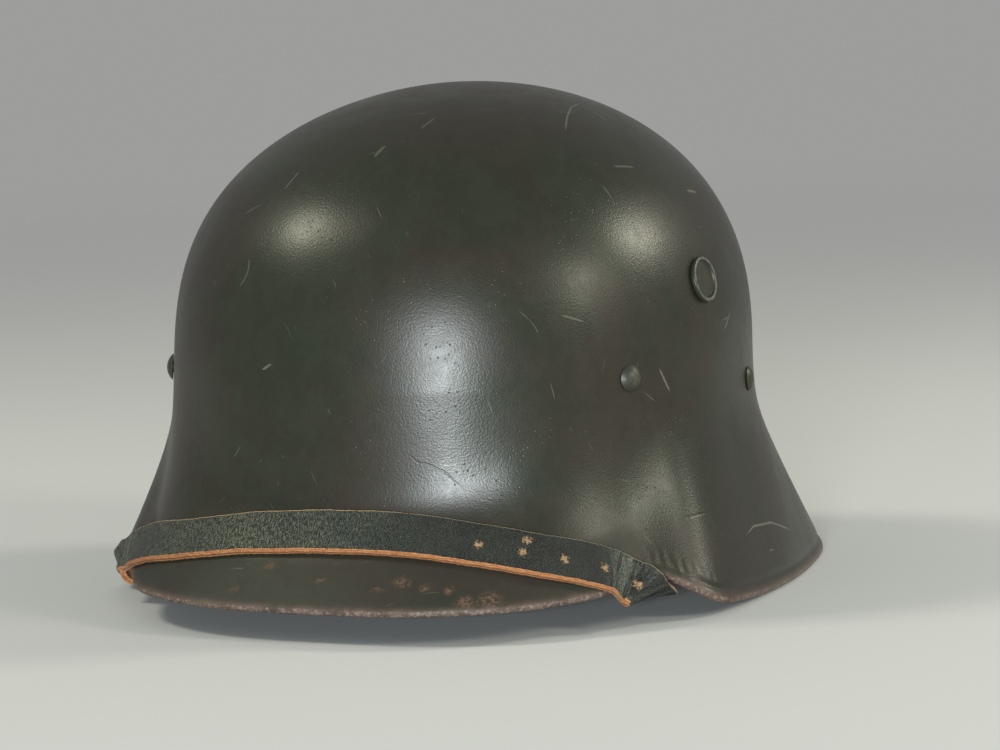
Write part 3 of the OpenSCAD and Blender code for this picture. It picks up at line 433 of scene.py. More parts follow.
def make_orange_peel():
    """The faint lumps of brushed and sprayed paint, with small pits, as a height in metres."""
    tree, given, out = new_group("orange_peel", "ShaderNodeTree", [
        ("Vector", "Vector", None), ("Lump Scale", "Float", 500.0), ("Lump Height", "Float", 1e-5),
        ("Pit Scale", "Float", 260.0), ("Pit Depth", "Float", 3e-5)], [("Height", "Float"), ("Pits", "Float")])
    lumps = times(tree, noise(tree, given["Vector"], given["Lump Scale"], 2.0, 0.5), given["Lump Height"])
    grain_scale = times(tree, given["Lump Scale"], 1.5)
    grains = node(tree, "ShaderNodeTexVoronoi", {"Vector": given["Vector"], "Scale": grain_scale},
                  feature="SMOOTH_F1").outputs[0]
    lumps = minus(tree, lumps, times(tree, grains, times(tree, given["Lump Height"], 0.7)))
    cells = node(tree, "ShaderNodeTexVoronoi", {"Vector": given["Vector"], "Scale": given["Pit Scale"]}).outputs[0]
    rare = span(tree, noise(tree, given["Vector"], times(tree, given["Pit Scale"], 0.13), 2.0), 0.5, 0.62)
    pits = times(tree, span(tree, cells, 0.2, 0.06), rare)
    height = minus(tree, lumps, times(tree, pits, given["Pit Depth"]))
    tree.links.new(height, out["Height"])
    tree.links.new(pits, out["Pits"])
    return tree


def make_stray_scratches():
    """Short, nearly straight hairline scratches that lie three ways, as a mask."""
    tree, given, out = new_group("stray_scratches", "ShaderNodeTree", [
        ("Vector", "Vector", None), ("Scale", "Float", 60.0), ("Width", "Float", 0.01), ("Amount", "Float", 0.5)],
        [("Mask", "Float")])
    total = None
    for way, shift in (((0.83, 0.21, 0.52), 0.0), ((-0.45, 0.62, 0.64), 3.1), ((0.30, -0.91, 0.28), 7.7)):
        moved = vector_calc(tree, "ADD", given["Vector"], (shift, shift, 0.0))
        sway = noise(tree, moved, times(tree, given["Scale"], 0.35), 2.0, 0.6)
        across = times(tree, vector_calc(tree, "DOT_PRODUCT", moved, way, out=1), given["Scale"])
        line = calc(tree, "FRACT", add(tree, across, times(tree, sway, 1.4)))
        thin = span(tree, calc(tree, "ABSOLUTE", minus(tree, line, 0.5)), given["Width"], 0.0)
        gate = noise(tree, moved, times(tree, given["Scale"], 1.6), 1.0, 0.5)
        short = span(tree, gate, minus(tree, 0.74, times(tree, given["Amount"], 0.12)), 0.76)
        one = times(tree, thin, short)
        total = one if total is None else calc(tree, "MAXIMUM", total, one)
    tree.links.new(total, out["Mask"])
    return tree


def make_stroke():
    """The drawn marks, from how far along and across its mark a point lies, with ragged sides, as a mask."""
    tree, given, out = new_group("stroke", "ShaderNodeTree", [
        ("Vector", "Vector", None), ("Along", "Float", 0.0), ("Across", "Float", 1.0), ("Width", "Float", 3e-4),
        ("Near", "Float", 0.0)], [("Mask", "Float")])
    wander = times(tree, minus(tree, noise(tree, given["Vector"], 900.0, 3.0, 0.7), 0.5), 1.7)
    taper = times(tree, span(tree, given["Along"], 0.0, 0.2), span(tree, given["Along"], 1.0, 0.8))
    width = times(tree, times(tree, given["Width"], add(tree, 1.0, wander)), taper)
    line = span(tree, calc(tree, "ABSOLUTE", given["Across"]), width, times(tree, width, 0.3))
    whole = calc(tree, "GREATER_THAN", given["Near"], 0.995)
    tree.links.new(times(tree, line, times(tree, whole, calc(
        tree, "GREATER_THAN", width, 1e-5))), out["Mask"])
    return tree


def make_flakes():
    """Small flaked or rusted spots, as a mask."""
    tree, given, out = new_group("flakes", "ShaderNodeTree", [
        ("Vector", "Vector", None), ("Scale", "Float", 200.0), ("Amount", "Float", 0.5)], [("Mask", "Float")])
    rough = noise(tree, given["Vector"], given["Scale"], 6.0, 0.72)
    field = noise(tree, given["Vector"], times(tree, given["Scale"], 0.17), 2.0, 0.5)
    level = minus(tree, 0.8, times(tree, given["Amount"], 0.2))
    both = add(tree, times(tree, rough, 0.65), times(tree, field, 0.35))
    tree.links.new(span(tree, both, level, add(tree, level, 0.035)), out["Mask"])
    return tree


def make_leather_grain():
    """Pebbles and the fine creases between them, as a height in metres and a mask of the pebbles' tops."""
    tree, given, out = new_group("leather_grain", "ShaderNodeTree", [
        ("Vector", "Vector", None), ("Pebble Scale", "Float", 1300.0), ("Pebble Height", "Float", 6e-5),
        ("Hatch", "Float", 0.5)], [("Height", "Float"), ("Tops", "Float")])
    drift = node(tree, "ShaderNodeTexNoise", {"Vector": given["Vector"], "Scale": 500.0}).outputs[1]
    warped = vector_calc(tree, "ADD", given["Vector"], vector_calc(tree, "MULTIPLY", drift, (8e-4, 8e-4, 8e-4)))
    cells = node(tree, "ShaderNodeTexVoronoi", {"Vector": warped, "Scale": given["Pebble Scale"]},
                 feature="DISTANCE_TO_EDGE").outputs[0]
    tops = span(tree, cells, 0.02, 0.22)
    slanted = stretched(tree, given["Vector"], 2.3, 0.6, 1.0)
    lines = noise(tree, slanted, times(tree, given["Pebble Scale"], 0.55), 2.0, 0.6)
    hatch = times(tree, span(tree, lines, 0.36, 0.58), given["Hatch"])
    both = add(tree, times(tree, tops, minus(tree, 1.0, given["Hatch"])), hatch)
    tree.links.new(times(tree, both, given["Pebble Height"]), out["Height"])
    tree.links.new(both, out["Tops"])
    return tree


cloudy_tone = make_cloudy_tone()
orange_peel = make_orange_peel()
stray_scratches = make_stray_scratches()
stroke = make_stroke()
flakes = make_flakes()
leather_grain = make_leather_grain()


def new_material(name):
    """A material with one Principled shader, its tree, and the object's own coordinates."""
    made = bpy.data.materials.new(name)
    made.use_nodes = True
    tree = made.node_tree
    tree.nodes.clear()
    shader = node(tree, "ShaderNodeBsdfPrincipled")
    node(tree, "ShaderNodeOutputMaterial", {"Surface": shader.outputs[0]})
    return made, tree, shader, node(tree, "ShaderNodeTexCoord").outputs["Object"]


def finish_shader(tree, shader, tone, rough, height, others=None):
    """Feeds the shader its colour, its roughness, its relief as a height in metres, and other inputs by name."""
    relief = node(tree, "ShaderNodeBump", {"Strength": 1.0, "Distance": 1.0, "Height": height}).outputs[0]
    feed(tree, shader, {"Base Color": tone, "Roughness": rough, "Normal": relief, **(others or {})})


OLIVE = colour("22251b")
OLIVE_BROWN = colour("25211a")
PALE_SCRATCH = colour("6f6d60")
RUST = colour("543c2c")

# Marks drawn across the paint: their points on the shell, their width in millimetres, and how strong they are; a dark
# scar is below zero. All but the last three lie where the photograph's camera sees them; those three are guessed.
MARKS = [
    (((-0.0281, -0.0848, 0.1416), (-0.0254, -0.0787, 0.1471)), 0.3, 0.5),
    (((0.0011, -0.0766, 0.1517), (0.0025, -0.0702, 0.1552)), 0.8, 0.32),
    (((0.0514, -0.0338, 0.1568), (0.0468, -0.0218, 0.1608), (0.0431, -0.0094, 0.1635), (0.0416, 0.0036, 0.1643)),
     0.42, 0.4),
    (((0.0476, -0.0019, 0.1616), (0.0545, -0.0045, 0.1583)), 0.5, 0.3),
    (((0.0898, -0.0499, 0.0806), (0.0918, -0.0458, 0.0722)), 0.55, 0.5),
    (((0.1084, -0.0236, 0.0213), (0.1074, -0.0130, 0.0230), (0.1064, 0.0050, 0.0216), (0.1054, 0.0278, 0.0153)),
     0.45, 0.5),
    (((0.0995, -0.0576, 0.0325), (0.1037, -0.0461, 0.0326)), 0.6, -0.8),
    (((-0.0255, -0.1107, 0.0847), (-0.0214, -0.1115, 0.0869)), 0.55, 0.4),
    (((0.0957, -0.0063, 0.0883), (0.0953, 0.0004, 0.0933)), 0.5, 0.4),
    (((0.0257, -0.1110, 0.0598), (0.0293, -0.1099, 0.0559), (0.0333, -0.1086, 0.0550), (0.0379, -0.1071, 0.0525),
      (0.0429, -0.1052, 0.0475)), 0.42, -0.75),
    (((0.0680, -0.0336, 0.1455), (0.0716, -0.0233, 0.1443)), 0.7, 0.3),
    (((0.0811, -0.0014, 0.1348), (0.0814, 0.0068, 0.1334)), 0.7, 0.5),
    (((0.0689, -0.0818, 0.1013), (0.0748, -0.0753, 0.0984)), 0.35, 0.35),
    (((0.0104, -0.0602, 0.1597), (0.0120, -0.0508, 0.1631)), 0.5, 0.25),
    (((-0.0429, -0.0857, 0.1333), (-0.0361, -0.0863, 0.1367)), 0.4, 0.25),
    (((0.0870, -0.0602, 0.0646), (0.0893, -0.0599, 0.0531)), 0.35, -0.3),
    (((-0.0800, 0.0600, 0.1100), (-0.0700, 0.0760, 0.1050)), 0.5, 0.4),
    (((0.0300, 0.1000, 0.0900), (0.0420, 0.0950, 0.0980)), 0.45, 0.4),
    (((-0.0200, 0.0800, 0.1300), (-0.0330, 0.0700, 0.1360)), 0.5, 0.35),
]

# Rust spots near the rim, where the photograph's camera sees them: middle and reach in metres
RUST_SPOTS = [
    ((0.0313, -0.1286, 0.0197), 0.0016), ((0.0330, -0.1285, 0.0188), 0.0012), ((0.0396, -0.1283, 0.0178), 0.0012),
    ((0.0471, -0.1262, 0.0171), 0.0013), ((0.0532, -0.1276, 0.0137), 0.0022), ((0.0600, -0.1232, 0.0142), 0.0026),
    ((-0.0162, -0.1279, 0.0229), 0.0012), ((0.0037, -0.1316, 0.0197), 0.0009), ((-0.0261, -0.1341, 0.0155), 0.0010),
    ((0.0248, -0.1323, 0.0175), 0.0010), ((0.1080, -0.0635, 0.0113), 0.0012),
]


def paint_material(name, tone, other, wear_limit):
    """Worn semi-gloss paint; the strokes and rust spots are only on the shell."""
    made, tree, shader, at = new_material(name)
    base = place_group(tree, cloudy_tone, {"Vector": at, "Cloud Scale": 21.0, "Speckle Scale": 1100.0,
                                           "Speckle": 0.34, "Tone": tone, "Other Tone": other})
    fine = place_group(tree, cloudy_tone, {"Vector": at, "Cloud Scale": 95.0, "Speckle Scale": 2600.0, "Speckle": 0.2,
                                           "Tone": (1, 1, 1, 1), "Other Tone": (0.86, 0.86, 0.88, 1)})
    paint = blend(tree, 1.0, base["Colour"], fine["Colour"], "MULTIPLY")
    peel = place_group(tree, orange_peel, {"Vector": at, "Lump Scale": 1300.0, "Lump Height": 4.2e-5,
                                           "Pit Scale": 520.0, "Pit Depth": 7e-5})
    hair = place_group(tree, stray_scratches, {"Vector": at, "Scale": 48.0, "Width": 0.01, "Amount": 0.75})["Mask"]
    rubs = place_group(tree, stray_scratches, {"Vector": at, "Scale": 130.0, "Width": 0.03, "Amount": 0.5})["Mask"]
    chips = place_group(tree, flakes, {"Vector": at, "Scale": 330.0, "Amount": wear_limit})["Mask"]
    paint = blend(tree, times(tree, peel["Pits"], 0.6), paint, colour("201f1a"))
    paint = blend(tree, times(tree, hair, 0.4), paint, PALE_SCRATCH)
    paint = blend(tree, times(tree, rubs, 0.16), paint, PALE_SCRATCH)
    paint = blend(tree, times(tree, chips, 0.75), paint, RUST)
    height = add(tree, peel["Height"], times(tree, hair, -1.2e-5), times(tree, chips, -4e-5))
    return made, tree, shader, at, paint, height, base["Cloud"], chips


def make_shell_paint():
    """The shell's paint, with the drawn marks, the rust spots, the worn rim and the dull lining."""
    made, tree, shader, at, paint, height, cloud, chips = paint_material("shell_paint", OLIVE, OLIVE_BROWN, 0.36)
    level = attribute(tree, "mark_level")
    mark = place_group(tree, stroke, {
        "Vector": at, "Along": attribute(tree, "mark_along"), "Across": attribute(tree, "mark_across"),
        "Width": attribute(tree, "mark_width"), "Near": attribute(tree, "mark_near")})["Mask"]
    light = times(tree, mark, calc(tree, "MAXIMUM", level, 0.0))
    dark = times(tree, mark, calc(tree, "MAXIMUM", times(tree, level, -1.0), 0.0))
    spots = attribute(tree, "rust_spot")
    ragged = span(tree, noise(tree, at, 700.0, 4.0, 0.7), 0.42, 0.55)
    spots = times(tree, spots, ragged)
    paint = blend(tree, light, paint, PALE_SCRATCH)
    paint = blend(tree, dark, paint, colour("1f1d18"))
    paint = blend(tree, times(tree, spots, 0.85), paint, colour("5d4534"))
    rim = attribute(tree, "rim_wear")
    broken = span(tree, noise(tree, at, 160.0, 5.0, 0.7), 0.3, 0.62)
    worn = times(tree, rim, add(tree, 0.35, times(tree, broken, 0.65)))
    paint = blend(tree, times(tree, worn, 0.85), paint, colour("57463e"))
    bare = times(tree, span(tree, rim, 0.72, 1.0), span(tree, noise(tree, at, 800.0, 4.0, 0.7), 0.48, 0.64))
    paint = blend(tree, times(tree, bare, 0.38), paint, colour("94827a"))
    lining = attribute(tree, "lining")
    paint = blend(tree, times(tree, lining, 0.5), paint, colour("3b372c"))
    ripple = attribute(tree, "ripple")
    parts = node(tree, "ShaderNodeSeparateXYZ", {"Vector": at}).outputs
    azimuth = calc(tree, "ARCTAN2", parts["X"], times(tree, parts["Y"], -1.0))
    waves = calc(tree, "SINE", add(tree, times(tree, azimuth, 215.0), times(tree, noise(tree, at, 120.0, 1.0), 5.0)))
    dents = times(tree, noise(tree, at, 26.0, 2.0, 0.4), 2.2e-4)
    height = add(tree, height, times(tree, waves, ripple, 8e-5), dents, times(tree, light, -2e-5),
                 times(tree, dark, -7e-5), times(tree, spots, 5e-5), times(tree, worn, -3e-5))
    rough = add(tree, 0.27, times(tree, cloud, 0.06), times(tree, noise(tree, at, 300.0, 3.0, 0.6), 0.1),
                times(tree, lining, 0.16), times(tree, attribute(tree, "dull_visor"), 0.26),
                times(tree, spots, 0.3), times(tree, worn, 0.05), times(tree, chips, 0.2))
    finish_shader(tree, shader, paint, rough, height, {"Specular IOR Level": 0.3})
    return made


def make_fitting_paint(name, bare_share):
    """Paint on a small fitting, rubbed off where a number kept in its mesh says that it stands proud."""
    made, tree, shader, at, paint, height, cloud, _ = paint_material(name, colour("21271c"), colour("282820"), 0.4)
    proud = attribute(tree, "proud")
    broken = span(tree, noise(tree, at, 900.0, 4.0, 0.65), 0.36, 0.6)
    bare = times(tree, span(tree, proud, 0.7, 1.0), add(tree, 0.15, times(tree, broken, 0.85)), bare_share)
    paint = blend(tree, bare, paint, colour("8b8c82"))
    rust = times(tree, span(tree, noise(tree, at, 300.0, 4.0, 0.6), 0.5, 0.66), 0.25)
    paint = blend(tree, rust, paint, colour("3a261e"))
    rough = add(tree, 0.38, times(tree, rust, 0.3), times(tree, cloud, 0.06))
    height = add(tree, height, times(tree, bare, -2e-5), times(tree, rust, 3e-5))
    finish_shader(tree, shader, paint, rough, height, {"Metallic": times(tree, bare, 0.75), "Specular IOR Level": 0.32})
    return made


def make_steel(name, tone, other, tarnish, rough_low):
    """Plain sheet or wire steel with tarnish, rust freckles and fine rubbing."""
    made, tree, shader, at = new_material(name)
    base = place_group(tree, cloudy_tone, {"Vector": at, "Cloud Scale": 110.0, "Speckle Scale": 1900.0,
                                           "Speckle": 0.3, "Tone": tone, "Other Tone": other})
    rubs = place_group(tree, stray_scratches, {"Vector": at, "Scale": 160.0, "Width": 0.02, "Amount": 1.0})["Mask"]
    freckles = place_group(tree, flakes, {"Vector": at, "Scale": 620.0, "Amount": tarnish})["Mask"]
    metal = blend(tree, times(tree, rubs, 0.35), base["Colour"], colour("b9b4a8"))
    metal = blend(tree, times(tree, freckles, 0.85), metal, RUST)
    peel = place_group(tree, orange_peel, {"Vector": at, "Lump Scale": 1500.0, "Lump Height": 8e-6,
                                           "Pit Scale": 900.0, "Pit Depth": 2e-5})
    rough = add(tree, rough_low, times(tree, base["Cloud"], 0.14), times(tree, freckles, 0.3))
    height = add(tree, peel["Height"], times(tree, rubs, -5e-6), times(tree, freckles, 2e-5))
    finish_shader(tree, shader, metal, rough, height, {"Metallic": minus(tree, 0.92, times(tree, freckles, 0.8))})
    return made


def make_strap_leather():
    """Dyed dark leather with tan cut edges, a suede back and torn tan fibres round its holes."""
    made, tree, shader, _ = new_material("strap_leather")
    lay = node(tree, "ShaderNodeUVMap", uv_map="lay").outputs[0]
    grain = place_group(tree, leather_grain, {"Vector": lay, "Pebble Scale": 1700.0, "Pebble Height": 1.7e-4,
                                              "Hatch": 0.6})
    tone = place_group(tree, cloudy_tone, {"Vector": lay, "Cloud Scale": 60.0, "Speckle Scale": 1500.0, "Speckle": 0.9,
                                           "Tone": colour("0c0e0c"), "Other Tone": colour("141814")})
    # Pale pebble tops: partly dust, and partly a painted highlight on the stretch of the strap that the lamps light
    # from the left and the front.
    dust_and_highlight = times(tree, attribute(tree, "dust_and_highlight"), add(tree, 0.7, times(tree, noise(tree, lay, 90.0, 4.0, 0.65), 0.6)))
    dusty_and_lit_tops = times(tree, span(tree, grain["Tops"], 0.45, 0.95), add(tree, 0.02, times(tree, dust_and_highlight, 0.72)))
    patch = span(tree, noise(tree, lay, 38.0, 3.0, 0.6), 0.3, 0.7)
    face = blend(tree, dusty_and_lit_tops, tone["Colour"], blend(tree, patch, colour("474f46"), colour("686b54")))
    lines = place_group(tree, stray_scratches, {"Vector": lay, "Scale": 60.0, "Width": 0.012, "Amount": 0.7})["Mask"]
    face = blend(tree, times(tree, lines, 0.4), face, colour("8f9084"))
    fibre = noise(tree, stretched(tree, lay, 1.0, 6.0, 1.0), 420.0, 5.0, 0.7)
    tan = blend(tree, span(tree, fibre, 0.3, 0.7), colour("744025"), colour("b07c50"))
    suede = blend(tree, span(tree, noise(tree, lay, 900.0, 5.0, 0.7), 0.35, 0.65), colour("5b422c"), colour("8a6747"))
    cut_edge, back, side, torn = (attribute(tree, n) for n in ("cut_edge", "back", "side", "torn"))
    seam = times(tree, span(tree, attribute(tree, "core"), 0.55, 1.0), 0.7)
    rubbed = times(tree, span(tree, side, 0.925, 0.955), span(tree, noise(tree, lay, 300.0, 4.0, 0.7), 0.3, 0.5), 0.9)
    # The rubbed top edge turns a paler tan where that painted highlight lies.
    face = blend(tree, rubbed, face, blend(tree, attribute(tree, "dust_and_highlight"), colour("5c5a4a"), colour("a98a64")))
    ragged = span(tree, add(tree, torn, times(tree, minus(tree, noise(tree, lay, 1100.0, 4.0, 0.7), 0.5), 1.3)),
                  0.45, 0.6)
    skin_colour = blend(tree, back, face, suede)
    torn_tan = blend(tree, span(tree, fibre, 0.3, 0.7), colour("75583f"), colour("a98c6c"))
    skin_colour = blend(tree, times(tree, ragged, 0.85), skin_colour, torn_tan)
    frayed = span(tree, add(tree, cut_edge, times(tree, minus(tree, fibre, 0.5), 0.5)), 0.42, 0.52)
    skin_colour = blend(tree, frayed, skin_colour, blend(tree, seam, tan, colour("5a3822")))
    bend = attribute(tree, "bend")
    creases = noise(tree, stretched(tree, lay, 1.0, 0.12, 1.0), 620.0, 3.0, 0.6, 0.4)
    crackle_and_highlight = times(tree, span(tree, creases, 0.42, 0.6), bend, add(tree, 0.25, times(tree, span(
        tree, noise(tree, lay, 1300.0, 3.0, 0.7), 0.4, 0.6), 0.75)))
    # Pale crackle where the strap bends: cracked finish, and a painted highlight along the crease ridges.
    skin_colour = blend(tree, times(tree, crackle_and_highlight, 0.5), skin_colour, colour("7f8172"))
    height = add(tree, times(tree, grain["Height"], minus(tree, 1.0, back)), times(tree, crackle_and_highlight, 2.6e-4),
                 times(tree, fibre, cut_edge, 2.2e-4), times(tree, seam, cut_edge, -3e-4),
                 times(tree, noise(tree, lay, 1500.0, 4.0, 0.7), back, 1.4e-4),
                 times(tree, lines, -5e-5), times(tree, ragged, noise(tree, lay, 2100.0, 3.0, 0.7), 3e-4))
    dull = calc(tree, "MAXIMUM", calc(tree, "MAXIMUM", cut_edge, back), ragged)
    rough = add(tree, 0.44, times(tree, dull, 0.4), times(tree, bend, -0.1), times(tree, grain["Tops"], -0.06),
                times(tree, noise(tree, lay, 300.0, 2.0), 0.14))
    finish_shader(tree, shader, skin_colour, rough, height, {"Specular IOR Level": 0.32})
    return made


def make_plain_leather(name, tone, other, grease, pebble):
    """Vegetable-tanned leather, darkened and polished where the head rubs it."""
    made, tree, shader, at = new_material(name)
    grain = place_group(tree, leather_grain, {"Vector": at, "Pebble Scale": pebble, "Pebble Height": 9e-5,
                                              "Hatch": 0.15})
    base = place_group(tree, cloudy_tone, {"Vector": at, "Cloud Scale": 34.0, "Speckle Scale": 1200.0, "Speckle": 0.5,
                                           "Tone": tone, "Other Tone": other})
    stain = span(tree, noise(tree, at, 16.0, 5.0, 0.6, 0.8), 0.5, 0.7)
    skin_colour = blend(tree, times(tree, stain, 0.7), base["Colour"], grease)
    skin_colour = blend(tree, times(tree, minus(tree, 1.0, grain["Tops"]), 0.45), skin_colour, grease)
    wrinkles = noise(tree, stretched(tree, at, 1.0, 1.0, 0.3), 210.0, 4.0, 0.6, 0.5)
    lines = place_group(tree, stray_scratches, {"Vector": at, "Scale": 70.0, "Width": 0.012, "Amount": 0.8})["Mask"]
    skin_colour = blend(tree, times(tree, lines, 0.4), skin_colour, colour("c09a6c"))
    rough = add(tree, 0.62, times(tree, stain, -0.16), times(tree, grain["Tops"], -0.06))
    height = add(tree, grain["Height"], times(tree, wrinkles, 2.5e-4), times(tree, lines, -4e-5))
    finish_shader(tree, shader, skin_colour, rough, height)
    return made


def make_fibrous(name, tone, other, rough):
    """Wool felt or cotton cord: matted fibres over two tones."""
    made, tree, shader, at = new_material(name)
    base = place_group(tree, cloudy_tone, {"Vector": at, "Cloud Scale": 70.0, "Speckle Scale": 2400.0, "Speckle": 1.1,
                                           "Tone": tone, "Other Tone": other})
    mat_x = noise(tree, stretched(tree, at, 1.0, 5.0, 5.0), 700.0, 4.0, 0.65, 1.2)
    mat_z = noise(tree, stretched(tree, at, 5.0, 5.0, 1.0), 700.0, 4.0, 0.65, 1.2)
    matted = calc(tree, "MAXIMUM", mat_x, mat_z)
    shadow = blend(tree, span(tree, matted, 0.62, 0.42), base["Colour"], tuple(c * 0.55 for c in tone[:3]) + (1.0,))
    rough = add(tree, rough, times(tree, matted, 0.08))
    finish_shader(tree, shader, shadow, rough, times(tree, matted, 2.5e-4), {"Sheen Weight": 0.3})
    return made


shell_paint = make_shell_paint()
bushing_paint = make_fitting_paint("bushing_paint", 0.4)
worn_paint = make_fitting_paint("worn_paint", 0.1)
liner_steel = make_steel("liner_steel", colour("7d7b75"), colour("67645c"), 0.42, 0.36)
spring_steel = make_steel("spring_steel", colour("6e6d69"), colour("55524b"), 0.45, 0.32)
rivet_steel = make_steel("rivet_steel", colour("8b8880"), colour("6c675c"), 0.4, 0.34)
bail_steel = make_steel("bail_steel", colour("84827c"), colour("67635a"), 0.48, 0.3)
buckle_steel = make_steel("buckle_steel", colour("8b8470"), colour("6a604c"), 0.5, 0.3)
stud_metal = make_steel("stud_metal", colour("8f8468"), colour("6b5f48"), 0.4, 0.36)
strap_leather = make_strap_leather()
liner_leather = make_plain_leather("liner_leather", colour("7a5233"), colour("8d6440"), colour("40291a"), 900.0)
felt_wool = make_fibrous("felt", colour("6d675a"), colour("7f786a"), 0.9)
lacing_cotton = make_fibrous("lacing", colour("a89b7e"), colour("8d8064"), 0.84)


# ---------------------------------------------------------------- shell

# The drawn line over the rolled edge: depth, height over the rim, reach, and the azimuth from which it runs rearwards
LINE_DEPTH, LINE_UP, LINE_REACH, LINE_FROM = 4.2e-4, 0.0049, 0.0010, 54
# Where the rim is worn and the flaps are rippled by the press: height over the rim and reach, then azimuth and reach
WORN_UP, WORN_REACH = 0.0016, 0.0013
RIPPLE_UP, RIPPLE_REACH, RIPPLE_AZIMUTH, RIPPLE_SPREAD = 0.0075, 0.0026, 61, 6
# Up to where over the rim, and to which azimuth, the visor is dull
DULL_UP, DULL_AZIMUTH = 0.019, 56


def make_shell():
    """One skin from the crown down the outside, round the rolled edge, and up the inside."""
    columns, dome_rows, skirt_rows, bead_steps, inner_skirt, inner_dome = 400, 78, 66, 14, 28, 38
    phi = np.arange(columns) * 360 / columns
    s = section(phi)
    low = edge_z(s)
    line = LINE_DEPTH * np.clip((np.abs((phi + 180) % 360 - 180) - LINE_FROM) / 10, 0, 1)
    rows = [dome_point(s, 1 - (1 - i / dome_rows) ** 1.6) for i in range(1, dome_rows)]
    for i in range(skirt_rows + 1):
        z = mix(low, SPRING, (1 - i / skirt_rows) ** 1.35)
        step = line * hump(z - s["rim"], LINE_UP, LINE_REACH) * np.clip(i / skirt_rows * 3 - 1, 0, 1)
        rows.append(skin(phi, z) - outward(phi, z) * step[:, None])
    bead_end = 360 - math.degrees(math.acos((BEAD - SHEET) / BEAD))
    rows += [edge_point(s, bead_end * i / bead_steps) for i in range(1, bead_steps + 1)]
    for i in range(inner_skirt + 1):
        z = mix(s["rim"] + 3.2 * BEAD, SPRING, i / inner_skirt)
        rows.append(skin(phi, z) - outward(phi, z) * SHEET)
    for i in range(inner_dome - 1, 0, -1):
        t = 1 - (1 - i / inner_dome) ** 1.6
        rows.append(dome_point(s, t) - dome_outward(phi, t) * SHEET)
    crown = np.array((0, LEAN - MIDDLE_Y, CROWN))
    points = np.vstack(rows + [crown[None], crown[None] - (0, 0, SHEET)])
    faces = grid_quads(len(rows), columns, close_cols=True).tolist()
    last, top, under = (len(rows) - 1) * columns, len(rows) * columns, len(rows) * columns + 1
    for c in range(columns):
        d = (c + 1) % columns
        faces += [(top, d, c), (under, last + c, last + d)]
    return solid("helmet_shell", points, faces)


def note_shell_wear(made):
    """Keeps where the rim, the inside, the flap's drawing ripples, the marks and the rust spots are."""
    co = points_of(made)
    z = co[:, 2]
    y = co[:, 1] + MIDDLE_Y - LEAN * dome_part(z)
    phi = np.degrees(np.arctan2(co[:, 0], -y))
    s = section(phi)
    depth = radius(s, z) - np.hypot(co[:, 0], y)
    up = z - s["rim"]
    inside = (depth > 0.0007) & (up > 0.0036)
    note(made, "lining", inside)
    note(made, "rim_wear", hump(np.maximum(up, WORN_UP), WORN_UP, WORN_REACH))
    a = np.abs(phi)
    note(made, "ripple", hump(a, RIPPLE_AZIMUTH, RIPPLE_SPREAD) * hump(up, RIPPLE_UP, RIPPLE_REACH) * ~inside)
    note(made, "dull_visor", np.clip((DULL_UP - up) / 0.005, 0, 1) * np.clip((DULL_AZIMUTH - a) / 6, 0, 1) * ~inside)
    spots = np.zeros(len(co))
    for middle, reach in RUST_SPOTS:
        spots = np.maximum(spots, np.clip(1.3 - np.linalg.norm(co - np.array(middle), axis=1) / reach * 0.8, 0, 1))
    note(made, "rust_spot", spots)
    note_marks(made, co, inside)


def note_marks(made, co, inside):
    """Keeps how far each point lies along and across the mark that it is nearest to."""
    kept = {key: np.zeros(len(co)) for key in ("along", "across", "width", "level", "near")}
    kept["across"] += 1
    best = np.full(len(co), 0.005)
    for line, width, level in MARKS:
        line = np.array(line)
        steps = np.linalg.norm(np.diff(line, axis=0), axis=1)
        whole, done = steps.sum(), 0.0
        for a, b, step in zip(line[:-1], line[1:], steps):
            run = (b - a) / step
            reach = co - a
            share = reach @ run
            side = unit(np.cross(run, unit(a + b - (0, 0, 0.12))))
            held = np.clip(share, 0, step)
            away = np.linalg.norm(reach - held[:, None] * run, axis=1)
            near = (away < best) & ~inside
            best[near] = away[near]
            kept["across"][near] = (reach @ side)[near]
            first, last = done == 0, done + step > whole - 1e-9
            share = np.where((share < 0) & (not first), 0, np.where((share > step) & (not last), step, share))
            kept["along"][near] = ((done + share) / whole)[near]
            kept["width"][near], kept["level"][near], kept["near"][near] = width / 1000, level, 1.0
            done += step
    for key, values in kept.items():
        note(made, "mark_" + key, values)


# Azimuths from the front in degrees and heights of the liner pins, the bushings and the side rivets
PIN_AZIMUTH, PIN_Z = 57.1, 0.0786
VENT_AZIMUTH, VENT_Z = 82.1, 0.1067
SIDE_AZIMUTH, SIDE_Z = 106, 0.0687
PIN_SEATS = [on_skin(azimuth, PIN_Z) for azimuth in (PIN_AZIMUTH, -PIN_AZIMUTH, 180)]
VENT_SEATS = [on_skin(azimuth, VENT_Z) for azimuth in (VENT_AZIMUTH, -VENT_AZIMUTH)]
SIDE_SEATS = [on_skin(SIDE_AZIMUTH, SIDE_Z), mirrored(on_skin(SIDE_AZIMUTH, SIDE_Z))]
RIVET_BORE_R, VENT_BORE_R = 0.0022, 0.0056
DRILL_REACH = 0.004

shell = make_shell()
cut(shell, PIN_SEATS, RIVET_BORE_R, -DRILL_REACH, DRILL_REACH)
cut(shell, VENT_SEATS, VENT_BORE_R, -DRILL_REACH, DRILL_REACH, 36)
cut(shell, SIDE_SEATS, RIVET_BORE_R, -DRILL_REACH, DRILL_REACH)
shade(shell)
note_shell_wear(shell)
finish_piece(shell, "helmet", shell_paint, "shell_paint", "shell")


# ---------------------------------------------------------------- fittings, set on their seats by Geometry Nodes

